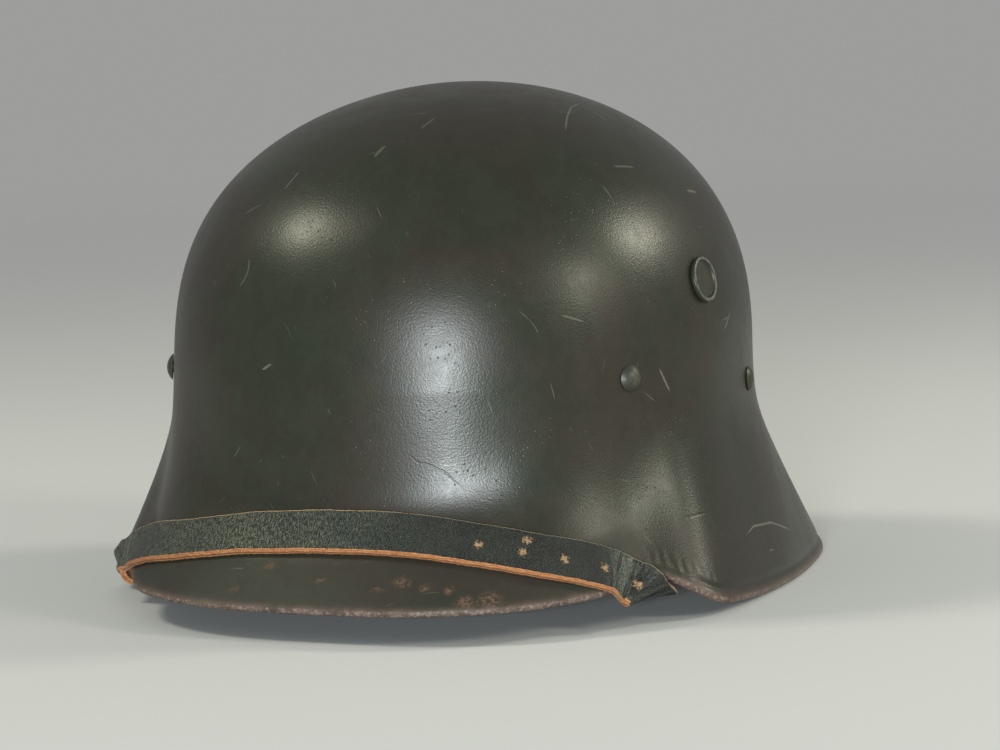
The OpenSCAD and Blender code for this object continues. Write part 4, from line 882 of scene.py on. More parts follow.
def make_seating_tree():
    """Sets one fitting on every seat, each turned a little about its own axis, and makes one mesh of them."""
    tree, given, out = new_group("fittings_on_seats", "GeometryNodeTree", [
        ("Seats", "Geometry", None), ("Fitting", "Object", None), ("Turn", "Float", 0.0), ("Seed", "Int", 0),
        ("Material", "Material", None)], [("Fittings", "Geometry")])
    fitting = node(tree, "GeometryNodeObjectInfo", {"Object": given["Fitting"]}).outputs["Geometry"]
    frames = node(tree, "GeometryNodeInputNamedAttribute", {"Name": "seat_turn"}, data_type="QUATERNION").outputs[0]
    spin = node(tree, "FunctionNodeRandomValue", {2: times(tree, given["Turn"], -1.0), 3: given["Turn"],
                                                  "Seed": given["Seed"]}, data_type="FLOAT").outputs[1]
    own = node(tree, "FunctionNodeAxisAngleToRotation", {"Axis": (0, 0, 1), "Angle": spin}).outputs[0]
    turned = node(tree, "FunctionNodeRotateRotation", {0: frames, 1: own}, rotation_space="LOCAL").outputs[0]
    placed = node(tree, "GeometryNodeInstanceOnPoints", {"Points": given["Seats"], "Instance": fitting,
                                                         "Rotation": turned}).outputs[0]
    solid_ones = node(tree, "GeometryNodeRealizeInstances", {"Geometry": placed}).outputs[0]
    finished = node(tree, "GeometryNodeSetMaterial", {"Geometry": solid_ones, "Material": given["Material"]}).outputs[0]
    tree.links.new(finished, out["Fittings"])
    return tree


def run_tree(tree, base, name, **values):
    """Runs the tree on the object and keeps the result as a plain mesh object of that name."""
    modifier = base.modifiers.new(tree.name, "NODES")
    modifier.node_group = tree
    for item in tree.interface.items_tree:
        if item.item_type == "SOCKET" and item.in_out == "INPUT" and item.name in values:
            modifier[item.identifier] = values[item.name]
    bpy.context.view_layer.update()
    mesh = bpy.data.meshes.new_from_object(base.evaluated_get(bpy.context.evaluated_depsgraph_get()))
    base.modifiers.remove(modifier)
    return add_object(name, mesh)


def turned(name, rows, sides=40):
    """A fitting turned about Z from its rows, each a radius, a height and how far it is rubbed."""
    faces = grid_quads(len(rows), sides, close_cols=True).tolist()
    faces += [range(sides), range((len(rows) - 1) * sides, len(rows) * sides)[::-1]]
    made = solid(name, points_on_rings([row[:2] for row in rows], sides), faces)
    note(made, "proud", np.repeat([row[2] for row in rows], sides))
    return made


def dome_profile(r, h, base, rows=8):
    """A domed head's profile from its top to its flat face, as radius, height and rubbing."""
    ball = (r * r + h * h) / (2 * h)
    widest = math.asin(r / ball)
    out = []
    for i in range(rows + 1):
        a = widest * (0.04 + 0.96 * i / rows)
        out.append((ball * math.sin(a), base + h - ball + ball * math.cos(a), 1 - 0.75 * (i / rows) ** 2))
    return out


def set_on(seats, fitting, name, material, slot, stands_for, turn=0.0, seed=1):
    """Sets a fitting on the seats, each turned at random by up to that angle, as one piece."""
    mesh = bpy.data.meshes.new("seats")
    mesh.from_pydata([s.translation[:] for s in seats], [], [])
    turns = mesh.attributes.new("seat_turn", "QUATERNION", "POINT")
    for i, s in enumerate(seats):
        turns.data[i].value = s.to_quaternion()
    base = add_object("seats", mesh)
    made = run_tree(seating, base, name, Fitting=fitting, Turn=turn, Seed=seed, Material=material)
    bpy.data.objects.remove(base)
    bpy.data.objects.remove(fitting)
    shade(made)
    return finish_piece(made, "helmet", None, slot, stands_for)


def rivet(name, head, shank_r, low, tail):
    """A rivet from its domed head down its shank to its tail, each row a radius, a height and a rubbing."""
    head_r, under = head[-1][0] * 0.98, head[-1][1] - 1e-4
    return turned(name, head + [(head_r, under, 0.1), (shank_r, under, 0), (shank_r, low, 0)] + tail)


seating = make_seating_tree()

# Liner pins: domed head, shank, and two legs bent flat over the washer
BAND_SHEET, WASHER_SHEET = 0.0008, 0.0008
BAND_OUT = SHEET + SEAT
BAND_IN = BAND_OUT + BAND_SHEET
WASHER_LOW = BAND_IN + SEAT + WASHER_SHEET
SHANK_R, HEAD_SEAT = 0.002, 0.00035
PIN_HEAD_R, PIN_HEAD_H = 0.0045, 0.002
pin = rivet("pin", dome_profile(PIN_HEAD_R, PIN_HEAD_H, HEAD_SEAT, 10), SHANK_R, -WASHER_LOW - 0.0009, [])
set_on(PIN_SEATS, pin, "liner_pin_heads", worn_paint, "worn_paint", "liner_pins", turn=3.0, seed=4)


def bent_leg(side):
    """One leg of a split pin, rounded over at its root and a little bowed."""
    steps, root, run, half, flat = 14, 0.0012, 0.0058, 0.0014, 0.0003
    path = [(0.0, -0.0004 - WASHER_LOW), (0.0006, -0.0006 - WASHER_LOW)]
    path += [(root + run * i / steps, -WASHER_LOW - 0.00055 - 0.00018 * math.sin(math.pi * i / steps))
             for i in range(steps + 1)]
    rows = []
    for i, (y, z) in enumerate(path):
        w = half * (1 - 0.45 * max(0, (i - len(path) + 5) / 5) ** 2)
        rows.append([(x, side * y, z + up) for x, up in ((-w, -flat), (w, -flat), (w, flat), (-w, flat))])
    ends = [range(4), range(4 * len(rows) - 4, 4 * len(rows))[::-1]]
    return np.array(rows).reshape(-1, 3), grid_quads(len(rows), 4, close_cols=True).tolist() + ends


leg_points, leg_faces = [], []
for side in (-1, 1):
    p, f = bent_leg(side)
    leg_faces += [tuple(i + len(leg_points) * len(p) for i in face) for face in f]
    leg_points.append(p)
legs = solid("legs", np.vstack(leg_points), leg_faces)
soften(legs, 1.5e-4)
set_on(PIN_SEATS, legs, "liner_pin_legs", rivet_steel, "rivet_steel", "liner_pins", turn=0.25, seed=9)

washer_rows = [(0.0022, -WASHER_LOW + 8e-4), (0.0044, -WASHER_LOW + 8e-4), (0.0046, -WASHER_LOW + 6e-4),
               (0.0046, -WASHER_LOW + 2e-4), (0.0043, -WASHER_LOW + 1e-4), (0.0022, -WASHER_LOW + 1e-4)]
WASHER_SIDES = 36
washer = solid("washer", points_on_rings(washer_rows, WASHER_SIDES),
               grid_quads(len(washer_rows), WASHER_SIDES, close_rows=True, close_cols=True))
set_on(PIN_SEATS, washer, "liner_pin_washers_turned", liner_steel, "liner_steel", "liner_pin_washers")

# Side rivets, with a flat head inside that rests on the bail's bracket
BRACKET_OFF, BRACKET_SHEET, CLOSE_SEAT = 0.001, 0.001, 0.0001
SIDE_HEAD_R, SIDE_HEAD_H = 0.0042, 0.0017
deep = SHEET + BRACKET_OFF + BRACKET_SHEET + CLOSE_SEAT
tail = [(0.0034, -deep, 0.5), (0.0034, -deep - 0.0006, 1), (0.0030, -deep - 0.0009, 1), (0.0004, -deep - 0.00095, 1)]
side_rivet = rivet("side_rivet", dome_profile(SIDE_HEAD_R, SIDE_HEAD_H, HEAD_SEAT, 10), SHANK_R, -deep, tail)
set_on(SIDE_SEATS, side_rivet, "strap_rivets", worn_paint, "worn_paint", "side_rivets", turn=3.0, seed=2)

# Ventilation bushings: a rolled ring round a sunk, closed face
VENT_H, VENT_R, RING = 0.0018, 0.0078, 0.0015
VENT_SHANK_R, VENT_COLLAR_R = 0.0055, 0.0066
vent_rows = [(1e-4, VENT_H - 0.00088, 0.15), (0.0022, VENT_H - 0.00087, 0.15), (0.0044, VENT_H - 0.00084, 0.1)]
vent_rows += [(VENT_R - RING - 0.0003, VENT_H - 0.0009, 0.0)]
for i in range(9):
    a = math.pi * i / 8
    vent_rows.append((VENT_R - RING / 2 - math.cos(a) * RING / 2, VENT_H - 0.00055 + 0.00055 * math.sin(a),
                      max(0.0, math.sin(a)) ** 0.7))
vent_rows += [(VENT_R, 0.0007, 0.1), (VENT_R - 1e-4, SEAT, 0.0), (VENT_SHANK_R, SEAT, 0),
              (VENT_SHANK_R, -SHEET - 0.0005, 0), (VENT_COLLAR_R, -SHEET - 0.0007, 0.3),
              (VENT_COLLAR_R, -SHEET - 0.0013, 0.6), (0.006, -SHEET - 0.0016, 0.6),
              (1e-4, -SHEET - 0.0016, 0.2)]
bushing = turned("bushing", vent_rows, 56)
set_on(VENT_SEATS, bushing, "vent_bushings", bushing_paint, "bushing_paint", "vent_bushing_left", turn=3.0, seed=6)
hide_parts("vent_bushing_right")


# ---------------------------------------------------------------- the strap's run

STRAP_WIDE, STRAP_THICK = 0.0155, 0.0022
STRAP_LIFT = SEAT + STRAP_THICK / 2
TURN_AZIMUTH = 52.4
PULL_ANGLE, BAIL_LEAN = math.radians(64), math.radians(21)
BAIL_R, BRACKET_L, BAIL_L = 0.00125, 0.012, 0.011
SHORT_L, KEEPER_X, KEEPER_L, KEEPER_T = 0.034, 0.020, 0.007, 0.0016
BUCKLE_R, BUCKLE_L, ROLLER_R = 0.0012, 0.016, 0.0021
PLY = STRAP_THICK / 2 + 0.00015
NEAR_R = BAIL_R + 0.0009 + STRAP_THICK / 2
HEEL_R = BUCKLE_R + 0.00035 + STRAP_THICK / 2
OVER_HEEL = HEEL_R + STRAP_THICK + 0.0003
UNDER_ROLLER = ROLLER_R + 0.0003 + STRAP_THICK / 2
TAIL_Z = PLY + STRAP_THICK + 0.00015
BUCKLE_TILT = math.radians(17)

side_n = outward(SIDE_AZIMUTH, SIDE_Z)
side_level = math.hypot(side_n[0], side_n[1])
side_down = np.array((side_n[2] * side_n[0] / side_level, side_n[2] * side_n[1] / side_level, -side_level))
side_rear = np.array((-side_n[1], side_n[0], 0)) / side_level
pull_x = side_down * math.cos(PULL_ANGLE) - side_rear * math.sin(PULL_ANGLE)
pull_y = side_down * math.sin(PULL_ANGLE) + side_rear * math.cos(PULL_ANGLE)
hinge_at = skin(SIDE_AZIMUTH, SIDE_Z) + pull_x * BRACKET_L - side_n * (SHEET + BRACKET_OFF + BAIL_R + 0.00095)
strap_x = pull_x * math.cos(BAIL_LEAN) - side_n * math.sin(BAIL_LEAN)
strap_y = -pull_y
strap_z = np.cross(strap_x, strap_y)
bar_at = hinge_at + strap_x * BAIL_L
BAR_SEAT = seat_from(strap_x, strap_y, strap_z, bar_at)


def lying(phi, z, lean):
    """The strap on the skin: its middle, its direction and its outward face, leaning by that angle."""
    lean = np.radians(lean)
    s = section(phi)
    tilt = np.arctan((radius(s, z - 0.004) - radius(s, z + 0.004)) / 0.008)
    aside = np.degrees(STRAP_WIDE / 2 * np.sin(lean) / radius(s, z))
    rise = STRAP_WIDE / 2 * np.cos(lean) * np.cos(tilt)
    upper, lower = skin(phi + aside, z + rise), skin(phi - aside, z - rise)
    w = unit(upper - lower)
    n = outward(phi, z)
    n = unit(n - w * (n @ w))
    middle = (upper + lower) / 2
    push = max(0.0, float((skin(phi, z) - middle) @ n))
    return middle + n * (STRAP_LIFT + push), np.cross(w, n), n


# The strap's middle line: its height at the front, how far it sags over the rim, and its turns and leans on the way
FRONT_Z, RIM_SAG = 0.033, 0.0015
STATIONS_PER_STOP = 4
TURN_SHARES = (0, 0.26, 0.52, 0.745, 0.87, 0.94, 0.98, 1)
LEANS = (0, 8, 17, 18, 22, 29, 40, 52)
# How far its free ends keep the directions in which they leave the rim and meet the bail or the buckle
KEEP_OFF_RIM, KEEP_TO_BAIL = 0.016, 0.026


def outer_run(drops):
    """Stations over the visor from the front to the rim on the wearer's left, falling by those shares."""
    stops = np.arange(len(drops))
    turns = np.array(TURN_SHARES) * TURN_AZIMUTH
    z_rim = float(edge_z(section(TURN_AZIMUTH))) - RIM_SAG
    run = []
    for i in range(STATIONS_PER_STOP * stops[-1] + 1):
        u = min(stops[-1] - 0.001, i / STATIONS_PER_STOP)
        azimuth, drop, lean = (float(follow(stops, values, u)) for values in (turns, drops, LEANS))
        run.append(lying(azimuth, mix(FRONT_Z, z_rim, drop), lean))
    return run


def round_the_rim(start):
    """Stations of the turn under the rim, about an axis along it."""
    turn_r = 0.0025 + STRAP_THICK / 2
    n0 = start[2]
    e = edge_point(section(TURN_AZIMUTH + 1), 90) - edge_point(section(TURN_AZIMUTH - 1), 90)
    rim = unit(e - n0 * (e @ n0))
    down = np.cross(rim, n0)
    down = down if down[2] < 0 else -down
    across = math.atan2(start[1] @ down, start[1] @ rim)
    run = []
    for i in range(1, 10):
        q = math.radians(175 * i / 9)
        n = n0 * math.cos(q) + down * math.sin(q)
        b = down * math.cos(q) - n0 * math.sin(q)
        at = start[0] - n0 * turn_r + n * turn_r + rim * (turn_r * q / math.tan(across))
        run.append((at, rim * math.cos(across) + b * math.sin(across), n))
    return run


def free_run(start, to):
    """Stations of the free stretch inside, from the turn to the bail or the buckle."""
    p = (start[0], start[0] + start[1] * KEEP_OFF_RIM, to + strap_x * KEEP_TO_BAIL, to)
    run = []
    for i in range(1, 9):
        t = i / 9
        at = p[0] * (1 - t) ** 3 + p[1] * 3 * t * (1 - t) ** 2 + p[2] * 3 * t * t * (1 - t) + p[3] * t ** 3
        d = unit((p[1] - p[0]) * (1 - t) ** 2 + (p[2] - p[1]) * 2 * t * (1 - t) + (p[3] - p[2]) * t * t)
        ease = t * t * (3 - 2 * t)
        n = start[2] * (1 - ease) + strap_z * ease
        run.append((at, d, unit(n - d * (n @ d))))
    return run


def by_bar(line):
    """Stations of a line drawn in the plane across the bail's bar."""
    run = []
    for i, p in enumerate(line):
        a, b = np.array(line[max(0, i - 1)]), np.array(line[min(len(line) - 1, i + 1)])
        d = unit(b - a)
        run.append((bar_at + strap_x * p[0] + strap_z * p[1], strap_x * d[0] + strap_z * d[1],
                    strap_x * d[1] - strap_z * d[0]))
    return run


def round_bar(r, start, end, steps):
    """Points of an arc round a bar, from one angle in degrees to the other."""
    turns = [math.radians(mix(start, end, i / steps)) for i in range(steps + 1)]
    return [(r * math.cos(a), r * math.sin(a)) for a in turns]


front_bar = (SHORT_L + BUCKLE_L * math.cos(BUCKLE_TILT), BUCKLE_L * math.sin(BUCKLE_TILT))
BUCKLE_LINE = [
    (front_bar[0] + 0.007, front_bar[1] - UNDER_ROLLER - 0.0003), (front_bar[0] + 0.002, front_bar[1] - UNDER_ROLLER),
    (front_bar[0] - 0.001, front_bar[1] - UNDER_ROLLER + 0.0002), (SHORT_L + 0.009, OVER_HEEL - 0.0019),
    (SHORT_L + 0.004, OVER_HEEL - 0.0005), (SHORT_L + 0.001, OVER_HEEL), (SHORT_L - 0.002, OVER_HEEL),
    (SHORT_L - 0.005, mix(TAIL_Z, OVER_HEEL, 0.4)), (SHORT_L - 0.0075, TAIL_Z), (KEEPER_X, TAIL_Z), (0.015, TAIL_Z)]
LOOP_LINE = [(0.052, PLY), (0.024, PLY), (0.0075, PLY), (0.004, mix(PLY, NEAR_R, 0.32))]
LOOP_LINE += round_bar(NEAR_R, 65, 295, 12) + [(0.004, -mix(PLY, NEAR_R, 0.32)), (0.0075, -PLY), (0.025, -PLY)]

outer_stops = outer_run((0, 0.025, 0.24, 0.52, 0.72, 0.85, 0.94, 1))
sagging_stops = outer_run((0, 0.1, 0.325, 0.535, 0.72, 0.85, 0.94, 1))
turn_stops = round_the_rim(outer_stops[-1])
OUTER_COUNT = len(outer_stops)


def stood_off(stops, heights):
    """Stations of stiff leather that stands a little off the skin where it bends over the rim."""
    return [(at + out * h, ahead, out) for (at, ahead, out), h in zip(stops, heights)]


def whole_run(outer, line):
    """Stations of one half of the strap, from the front round the rim to its end."""
    ends = by_bar(line)
    outer = stood_off(outer, [0.0] * 21 + [0.0002, 0.0005, 0.001, 0.0015, 0.002, 0.0022, 0.0022, 0.0021])
    turn = stood_off(turn_stops, [0.0019, 0.0014, 0.001, 0.0005, 0.0002, 0, 0, 0, 0])
    return outer + turn + free_run(turn[-1], ends[0][0]) + ends


def flipped(v):
    """The same vector on the other side of the head."""
    return v * np.array((-1, 1, 1))


left_run, right_run = whole_run(outer_stops, BUCKLE_LINE), whole_run(sagging_stops, LOOP_LINE)
strap_run = [(flipped(p), -flipped(d), flipped(n)) for p, d, n in right_run[:0:-1]] + left_run


def wobble(x, seed):
    """An uneven line of about -1 to 1 along x, the same on each run."""
    waves = ((0.7, 45.0), (0.5, 130.0), (0.5, 390.0))
    return sum(size * np.sin(x * rate * 2 * np.pi + seed * (k + 1) * 1.7) for k, (size, rate) in enumerate(waves)) / 1.4


def strip_profile(wide, thick, r, across=14, corner=4):
    """The outline of a flat strip with eased corners: sideways, outward, and which part of the strip it is."""
    half, top = wide / 2, thick / 2
    quarter = np.linspace(0, math.pi / 2, corner + 1)
    rows = [(-half + r, top, 1.0, 0.0), (-half + r + 0.0011, top, 0.0, 0.0)]
    rows += [(x, top, 0.0, 0.0) for x in np.linspace(-half + r + 0.002, half - r, across)]
    rows += [(half - r + r * math.sin(a), top - r + r * math.cos(a), a / (math.pi / 2), 0.0) for a in quarter[1:]]
    rows += [(half, 0.0, 1.0, 0.0)]
    rows += [(half - r + r * math.cos(a), -top + r - r * math.sin(a), 1.0, 0.5) for a in quarter]
    rows += [(x, -top, 0.0, 1.0) for x in np.linspace(half - r, -half + r, across)[1:-1]]
    rows += [(-half + r - r * math.sin(a), -top + r - r * math.cos(a), 1.0, 0.5) for a in quarter]
    rows += [(-half, 0.0, 1.0, 0.0)]
    return rows + [(-half + r - r * math.cos(a), top - r + r * math.sin(a), 1.0, 0.0) for a in quarter[:-1]]


# How the strap's two edges are drawn at each fold over the rim: how far past the fold, in millimetres, and then
# the upper and the lower edge's move rearwards along the rim, up, and outward
LEFT_FOLD = (
    (-20, (0, 0, 0), (0, 0, 0)), (-11, (0, -0.4, 0), (-0.9, -0.1, 0)), (-6.5, (0.1, -1.4, 0.3), (-2.9, -1.3, 0.4)),
    (-2, (0.4, -3.2, 1.4), (-4.6, -2.7, 0.6)), (3, (-0.7, -2.9, 1.5), (-3.6, -2.0, 0.4)),
    (7.5, (1.7, -3.2, 1.2), (-2.2, 0.7, 0)), (12, (1.0, -1.2, 0.3), (-0.5, 0.3, 0)), (18, (0, 0, 0), (0, 0, 0)))
RIGHT_FOLD = (
    (-24, (0, 0, 0), (0, 0, 0)), (-17, (0, 0, 0.6), (0, 0.4, 0)), (-11, (0, -0.2, 2.2), (0, 1.0, -0.8)),
    (-6.5, (0, -0.4, 3.4), (0, 0.9, -0.8)), (-2, (0, -2.2, 3.3), (0, 0, -0.9)), (3, (0, -1.6, 2.6), (0, -1.0, -0.2)),
    (8, (0, -0.4, 1.8), (0, -1.0, 0.7)), (12, (0, 0, 0.8), (0, 0, 0.4)), (18, (0, 0, 0), (0, 0, 0)))


def drawn_over_rim(points, x, profile, fold_at, moves, side):
    """Moves the strap's points near one fold, on the wearer's left for side 1 and on the right for side -1."""
    turn = math.radians(TURN_AZIMUTH)
    rearwards, out = (side * math.cos(turn), math.sin(turn), 0), (side * math.sin(turn), -math.cos(turn), 0)
    ways = np.array((rearwards, (0, 0, 1), out))
    past = side * (x - fold_at) * 1000
    at = [row[0] for row in moves]
    for j, (a, *_) in enumerate(profile):
        share = 0.5 + a / STRAP_WIDE
        shift = sum(follow(at, np.array([row[k] for row in moves], float), np.clip(past, at[0], at[-1])) * weight
                    for k, weight in ((1, share), (2, 1 - share)))
        points[:, j] += shift / 1000 @ ways


def distances(points):
    """How far along its line each point lies."""
    return np.concatenate(([0], np.cumsum(np.linalg.norm(np.diff(points, axis=0), axis=1))))


def leather_strip(name, run, wide, thick, step=8e-4, closed=False, seed=1.0, uneven=1.2e-4, holes=(), folds=()):
    """A strip of leather laid along the run, with its wear kept for the material."""
    at = np.array([r[0] for r in run])
    out = np.array([r[2] for r in run])
    if closed:
        at, out = np.vstack((at, at[:1])), np.vstack((out, out[:1]))
    way = distances(at)
    count = int(way[-1] / step)
    x = np.linspace(0, way[-1], count + 1)[:count if closed else None]
    if closed:
        wrap = 3
        at = np.vstack((at[-1 - wrap:-1], at, at[1:1 + wrap]))
        out = np.vstack((out[-1 - wrap:-1], out, out[1:1 + wrap]))
        way = np.concatenate((way[-1 - wrap:-1] - way[-1], way, way[-1] + way[1:1 + wrap]))
    mid = follow(way, at, x, level_ends=False)
    n = unit(follow(way, out, x, level_ends=False))
    ahead = unit(follow(way, at, np.minimum(x + 2e-4, way[-1]), level_ends=False)
                 - follow(way, at, np.maximum(x - 2e-4, way[0]), level_ends=False))
    n = unit(n - ahead * (n * ahead).sum(1)[:, None])
    w = np.cross(n, ahead)
    bend = np.clip((np.linalg.norm(np.gradient(ahead, x, axis=0), axis=1) - 40) / 160, 0, 1)
    profile = strip_profile(wide, thick, min(0.00045, thick * 0.22))
    rows, uvs = [], []
    length = distances([row[:2] for row in profile])
    for j, (a, b, *_) in enumerate(profile):
        ragged = uneven * wobble(x, seed + (3 if a > 0 else 7)) * abs(a) / (wide / 2)
        rows.append(mid + w * (a + ragged)[:, None] + n * b)
        uvs.append(np.column_stack((x, np.full(len(x), length[j]))))
    points = np.stack(rows, 1)
    for fold_stop, moves, side in folds:
        drawn_over_rim(points, x, profile, way[fold_stop], moves, side)
        past = side * (x - way[fold_stop]) * 1000
        bend = np.where(np.abs(past) < 18, hump(past, -7, 5) + 0.3 * hump(past, 4, 5), bend)
    count, ring = points.shape[:2]
    faces = grid_quads(count, ring, close_rows=closed, close_cols=True).tolist()
    if not closed:
        faces += [tuple(range(ring)), tuple(range((count - 1) * ring, count * ring))[::-1]]
    made = solid(name, points.reshape(-1, 3), faces)
    uv = made.data.uv_layers.new(name="lay")
    corners = np.empty(len(made.data.loops), np.int32)
    made.data.loops.foreach_get("vertex_index", corners)
    flat = np.stack(uvs, 1).reshape(-1, 2)
    uv.data.foreach_set("uv", flat[corners].ravel().astype(np.float32))
    keep = {"core": [max(0.0, 1 - 2.2 * abs(p[1]) / thick) for p in profile],
            "cut_edge": [p[2] if p[3] < 1 else 0.0 for p in profile],
            "back": [1.0 if p[3] >= 0.5 else 0.0 for p in profile],
            "side": [min(1.0, abs(p[0]) / (wide / 2)) for p in profile]}
    for key, values in keep.items():
        note(made, key, np.tile(values, count))
    note(made, "bend", np.repeat(bend, ring))
    top = [j for j, p in enumerate(profile) if p[1] > thick * 0.49]
    seats = []
    for along, aside in holes:
        i = int(np.argmin(np.abs(x - along)))
        j = min(top, key=lambda j: abs(profile[j][0] - aside))
        on, ahead_of, beside = points[i, j], points[i + 1, j], points[i, j + 1]
        forward, across = unit(ahead_of - on), unit(beside - on)
        up = np.cross(forward, across)
        seats.append(seat_from(forward, np.cross(up, forward), up, on - up * thick / 2))
    co = points_of(made)
    torn = np.zeros(len(co))
    for seat in seats:
        torn = np.maximum(torn, 1 - np.linalg.norm(co - np.array(seat.translation), axis=1) / 0.0036)
    note(made, "torn", torn)
    return made, seats


PRONG_X = 0.0032
HOLE_PITCH, OUTER_HOLE_R, INNER_HOLE_R = 0.014, 0.0009, 0.0018
STUD_X, TAIL_STUD_X, STUD_HOLE_R = 0.011, 0.014, 0.0016
buckle_line_x = [p[0] for p in BUCKLE_LINE][::-1]
buckle_line_z = [p[1] for p in BUCKLE_LINE][::-1]
inner_holes = [BAR_SEAT @ Matrix.Translation((x, 0, float(np.interp(x, buckle_line_x, buckle_line_z))))
               for x in (SHORT_L + PRONG_X + k * HOLE_PITCH for k in (-1, 0, 1))]
tail_stud_seat = mirrored(BAR_SEAT @ Matrix.Translation((TAIL_STUD_X, 0, 0)))
stud_seat = BAR_SEAT @ Matrix.Translation((STUD_X, 0, 0))

FRONT_STOP = len(right_run) - 1
FOLD_AT = distances([stop[0] for stop in strap_run])[FRONT_STOP + OUTER_COUNT - 1]
# Five holes before the fold, and a second, torn one beside the fourth
strap, outer_holes = leather_strip(
    "chin_strap_leather", strap_run, STRAP_WIDE, STRAP_THICK,
    holes=[(FOLD_AT - 0.001 - k * HOLE_PITCH, 0) for k in range(5)] + [(FOLD_AT - 0.0424, 0.0042)],
    folds=((FRONT_STOP + OUTER_COUNT - 1, LEFT_FOLD, 1), (FRONT_STOP - OUTER_COUNT + 1, RIGHT_FOLD, -1)))
strap_at = points_of(strap)
# How pale the strap's pebble tops are, by azimuth: partly dust, and partly a painted highlight on the lit stretch round
# the front and the wearer's right.
note(strap, "dust_and_highlight", np.interp(np.degrees(np.arctan2(strap_at[:, 0], -strap_at[:, 1])),
                               (-75, -50, -15, 2, 12, 22, 75), (0.6, 0.75, 1.0, 0.75, 0.3, 0.0, 0.02)))
cut(strap, outer_holes, OUTER_HOLE_R, -0.002, 0.002, 12)
cut(strap, inner_holes, INNER_HOLE_R, -0.002, 0.002, 20)
cut(strap, [tail_stud_seat], STUD_HOLE_R, -0.006, 0.006, 16)
shade(strap, 60)
finish_piece(strap, "helmet", strap_leather, "strap_leather", "chin_strap")

# Short strap: folded round the bail's bar and the buckle's bar, with a slot for the prong
upper = round_bar(NEAR_R, 180, 65, 8) + [(0.004, mix(PLY, NEAR_R, 0.32)), (0.0075, PLY), (SHORT_L - 0.0065, PLY),
                                         (SHORT_L - 0.0036, mix(PLY, HEEL_R, 0.3))]
upper += [(SHORT_L + x, z) for x, z in round_bar(HEEL_R, 115, 0, 8)]
short_line = upper + [(x, -z) for x, z in upper[-2:0:-1]]
short_run = []
for i, p in enumerate(short_line):
    a, b = np.array(short_line[i - 1]), np.array(short_line[(i + 1) % len(short_line)])
    d = unit(b - a)
    short_run.append((bar_at + strap_x * p[0] + strap_z * p[1], strap_x * d[0] + strap_z * d[1],
                      strap_z * d[0] - strap_x * d[1]))
short_strap, _ = leather_strip("buckle_strap_leather", short_run, STRAP_WIDE, STRAP_THICK, step=6e-4, closed=True,
                               seed=4.0)


def block(size, seat):
    """A plain cutter block with one corner of its seat at its low X."""
    x, y, z = size
    points = [(i, j, k) for i in (0, x) for j in (-y / 2, y / 2) for k in (-z / 2, z / 2)]
    faces = [(0, 1, 3, 2), (4, 6, 7, 5), (0, 4, 5, 1), (2, 3, 7, 6), (0, 2, 6, 4), (1, 5, 7, 3)]
    return solid("block", np.array([seat @ Vector(p) for p in points]), faces)


SLOT_W, SLOT_BACK, FOLD_CUT = 0.0042, 0.0034, 0.012
slot_block = block((FOLD_CUT, SLOT_W, FOLD_CUT), BAR_SEAT @ Matrix.Translation((SHORT_L - SLOT_BACK, 0, 0)))
take_away(short_strap, slot_block)
cut(short_strap, [stud_seat], STUD_HOLE_R, -0.006, 0.006, 16)
shade(short_strap, 60)
finish_piece(short_strap, "helmet", strap_leather, "strap_leather", "buckle_strap")


def rounded_path(half_w, half_h, r, per_corner=5):
    """A rounded rectangle drawn anticlockwise, as points with their outward directions."""
    out = []
    for k, (cx, cy) in enumerate(((1, 1), (-1, 1), (-1, -1), (1, -1))):
        for i in range(per_corner + 1):
            a = math.pi / 2 * (k + i / per_corner)
            out.append(((cx * (half_w - r) + r * math.cos(a), cy * (half_h - r) + r * math.sin(a)),
                        (math.cos(a), math.sin(a))))
    return out


low, high = -PLY - STRAP_THICK / 2 - 0.0003, TAIL_Z + STRAP_THICK / 2 + 0.0003
keeper_run = []
for (y, z), (ny, nz) in rounded_path(STRAP_WIDE / 2 + 0.0003 + KEEPER_T / 2, (high - low) / 2 + KEEPER_T / 2, 0.0013):
    at = bar_at + strap_x * KEEPER_X + strap_y * y + strap_z * (z + (low + high) / 2)
    keeper_run.append((at, strap_z * ny - strap_y * nz, strap_y * ny + strap_z * nz))
keeper, _ = leather_strip("strap_keeper_leather", keeper_run, KEEPER_L, KEEPER_T, step=4e-4, closed=True, seed=9.0,
                          uneven=6e-5)
finish_piece(keeper, "helmet", strap_leather, "strap_leather", "strap_keeper")

# Studs that hold the folds
STUD_REACH = PLY + STRAP_THICK / 2 + CLOSE_SEAT


def stud_piece():
    """A stud with a domed head on both sides of the fold that it holds."""
    head = dome_profile(0.0032, 0.0009, STUD_REACH, 6)
    low_head = [(r, -z, p) for r, z, p in head[::-1]]
    rows = head + [(0.0015, STUD_REACH, 0), (0.0015, -STUD_REACH, 0)] + low_head
    return turned("stud", rows, 32)


set_on([stud_seat], stud_piece(), "buckle_strap_stud_turned", stud_metal, "stud_metal", "buckle_strap_stud")
set_on([tail_stud_seat], stud_piece(), "chin_strap_stud_turned", stud_metal, "stud_metal", "strap_stud")

# ---------------------------------------------------------------- liner

BAND_LOW, BAND_H = PIN_Z - 0.005, 0.018
BAND_MID = BAND_LOW + BAND_H / 2
INNER_OUT = BAND_IN + 0.009
INNER_IN = INNER_OUT + BAND_SHEET
FELT_T, LEATHER_T = 0.002, 0.0013
FELT_OUT = INNER_IN + SEAT / 2
FELT_IN = FELT_OUT + FELT_T
LEATHER_OUT = FELT_IN + SEAT


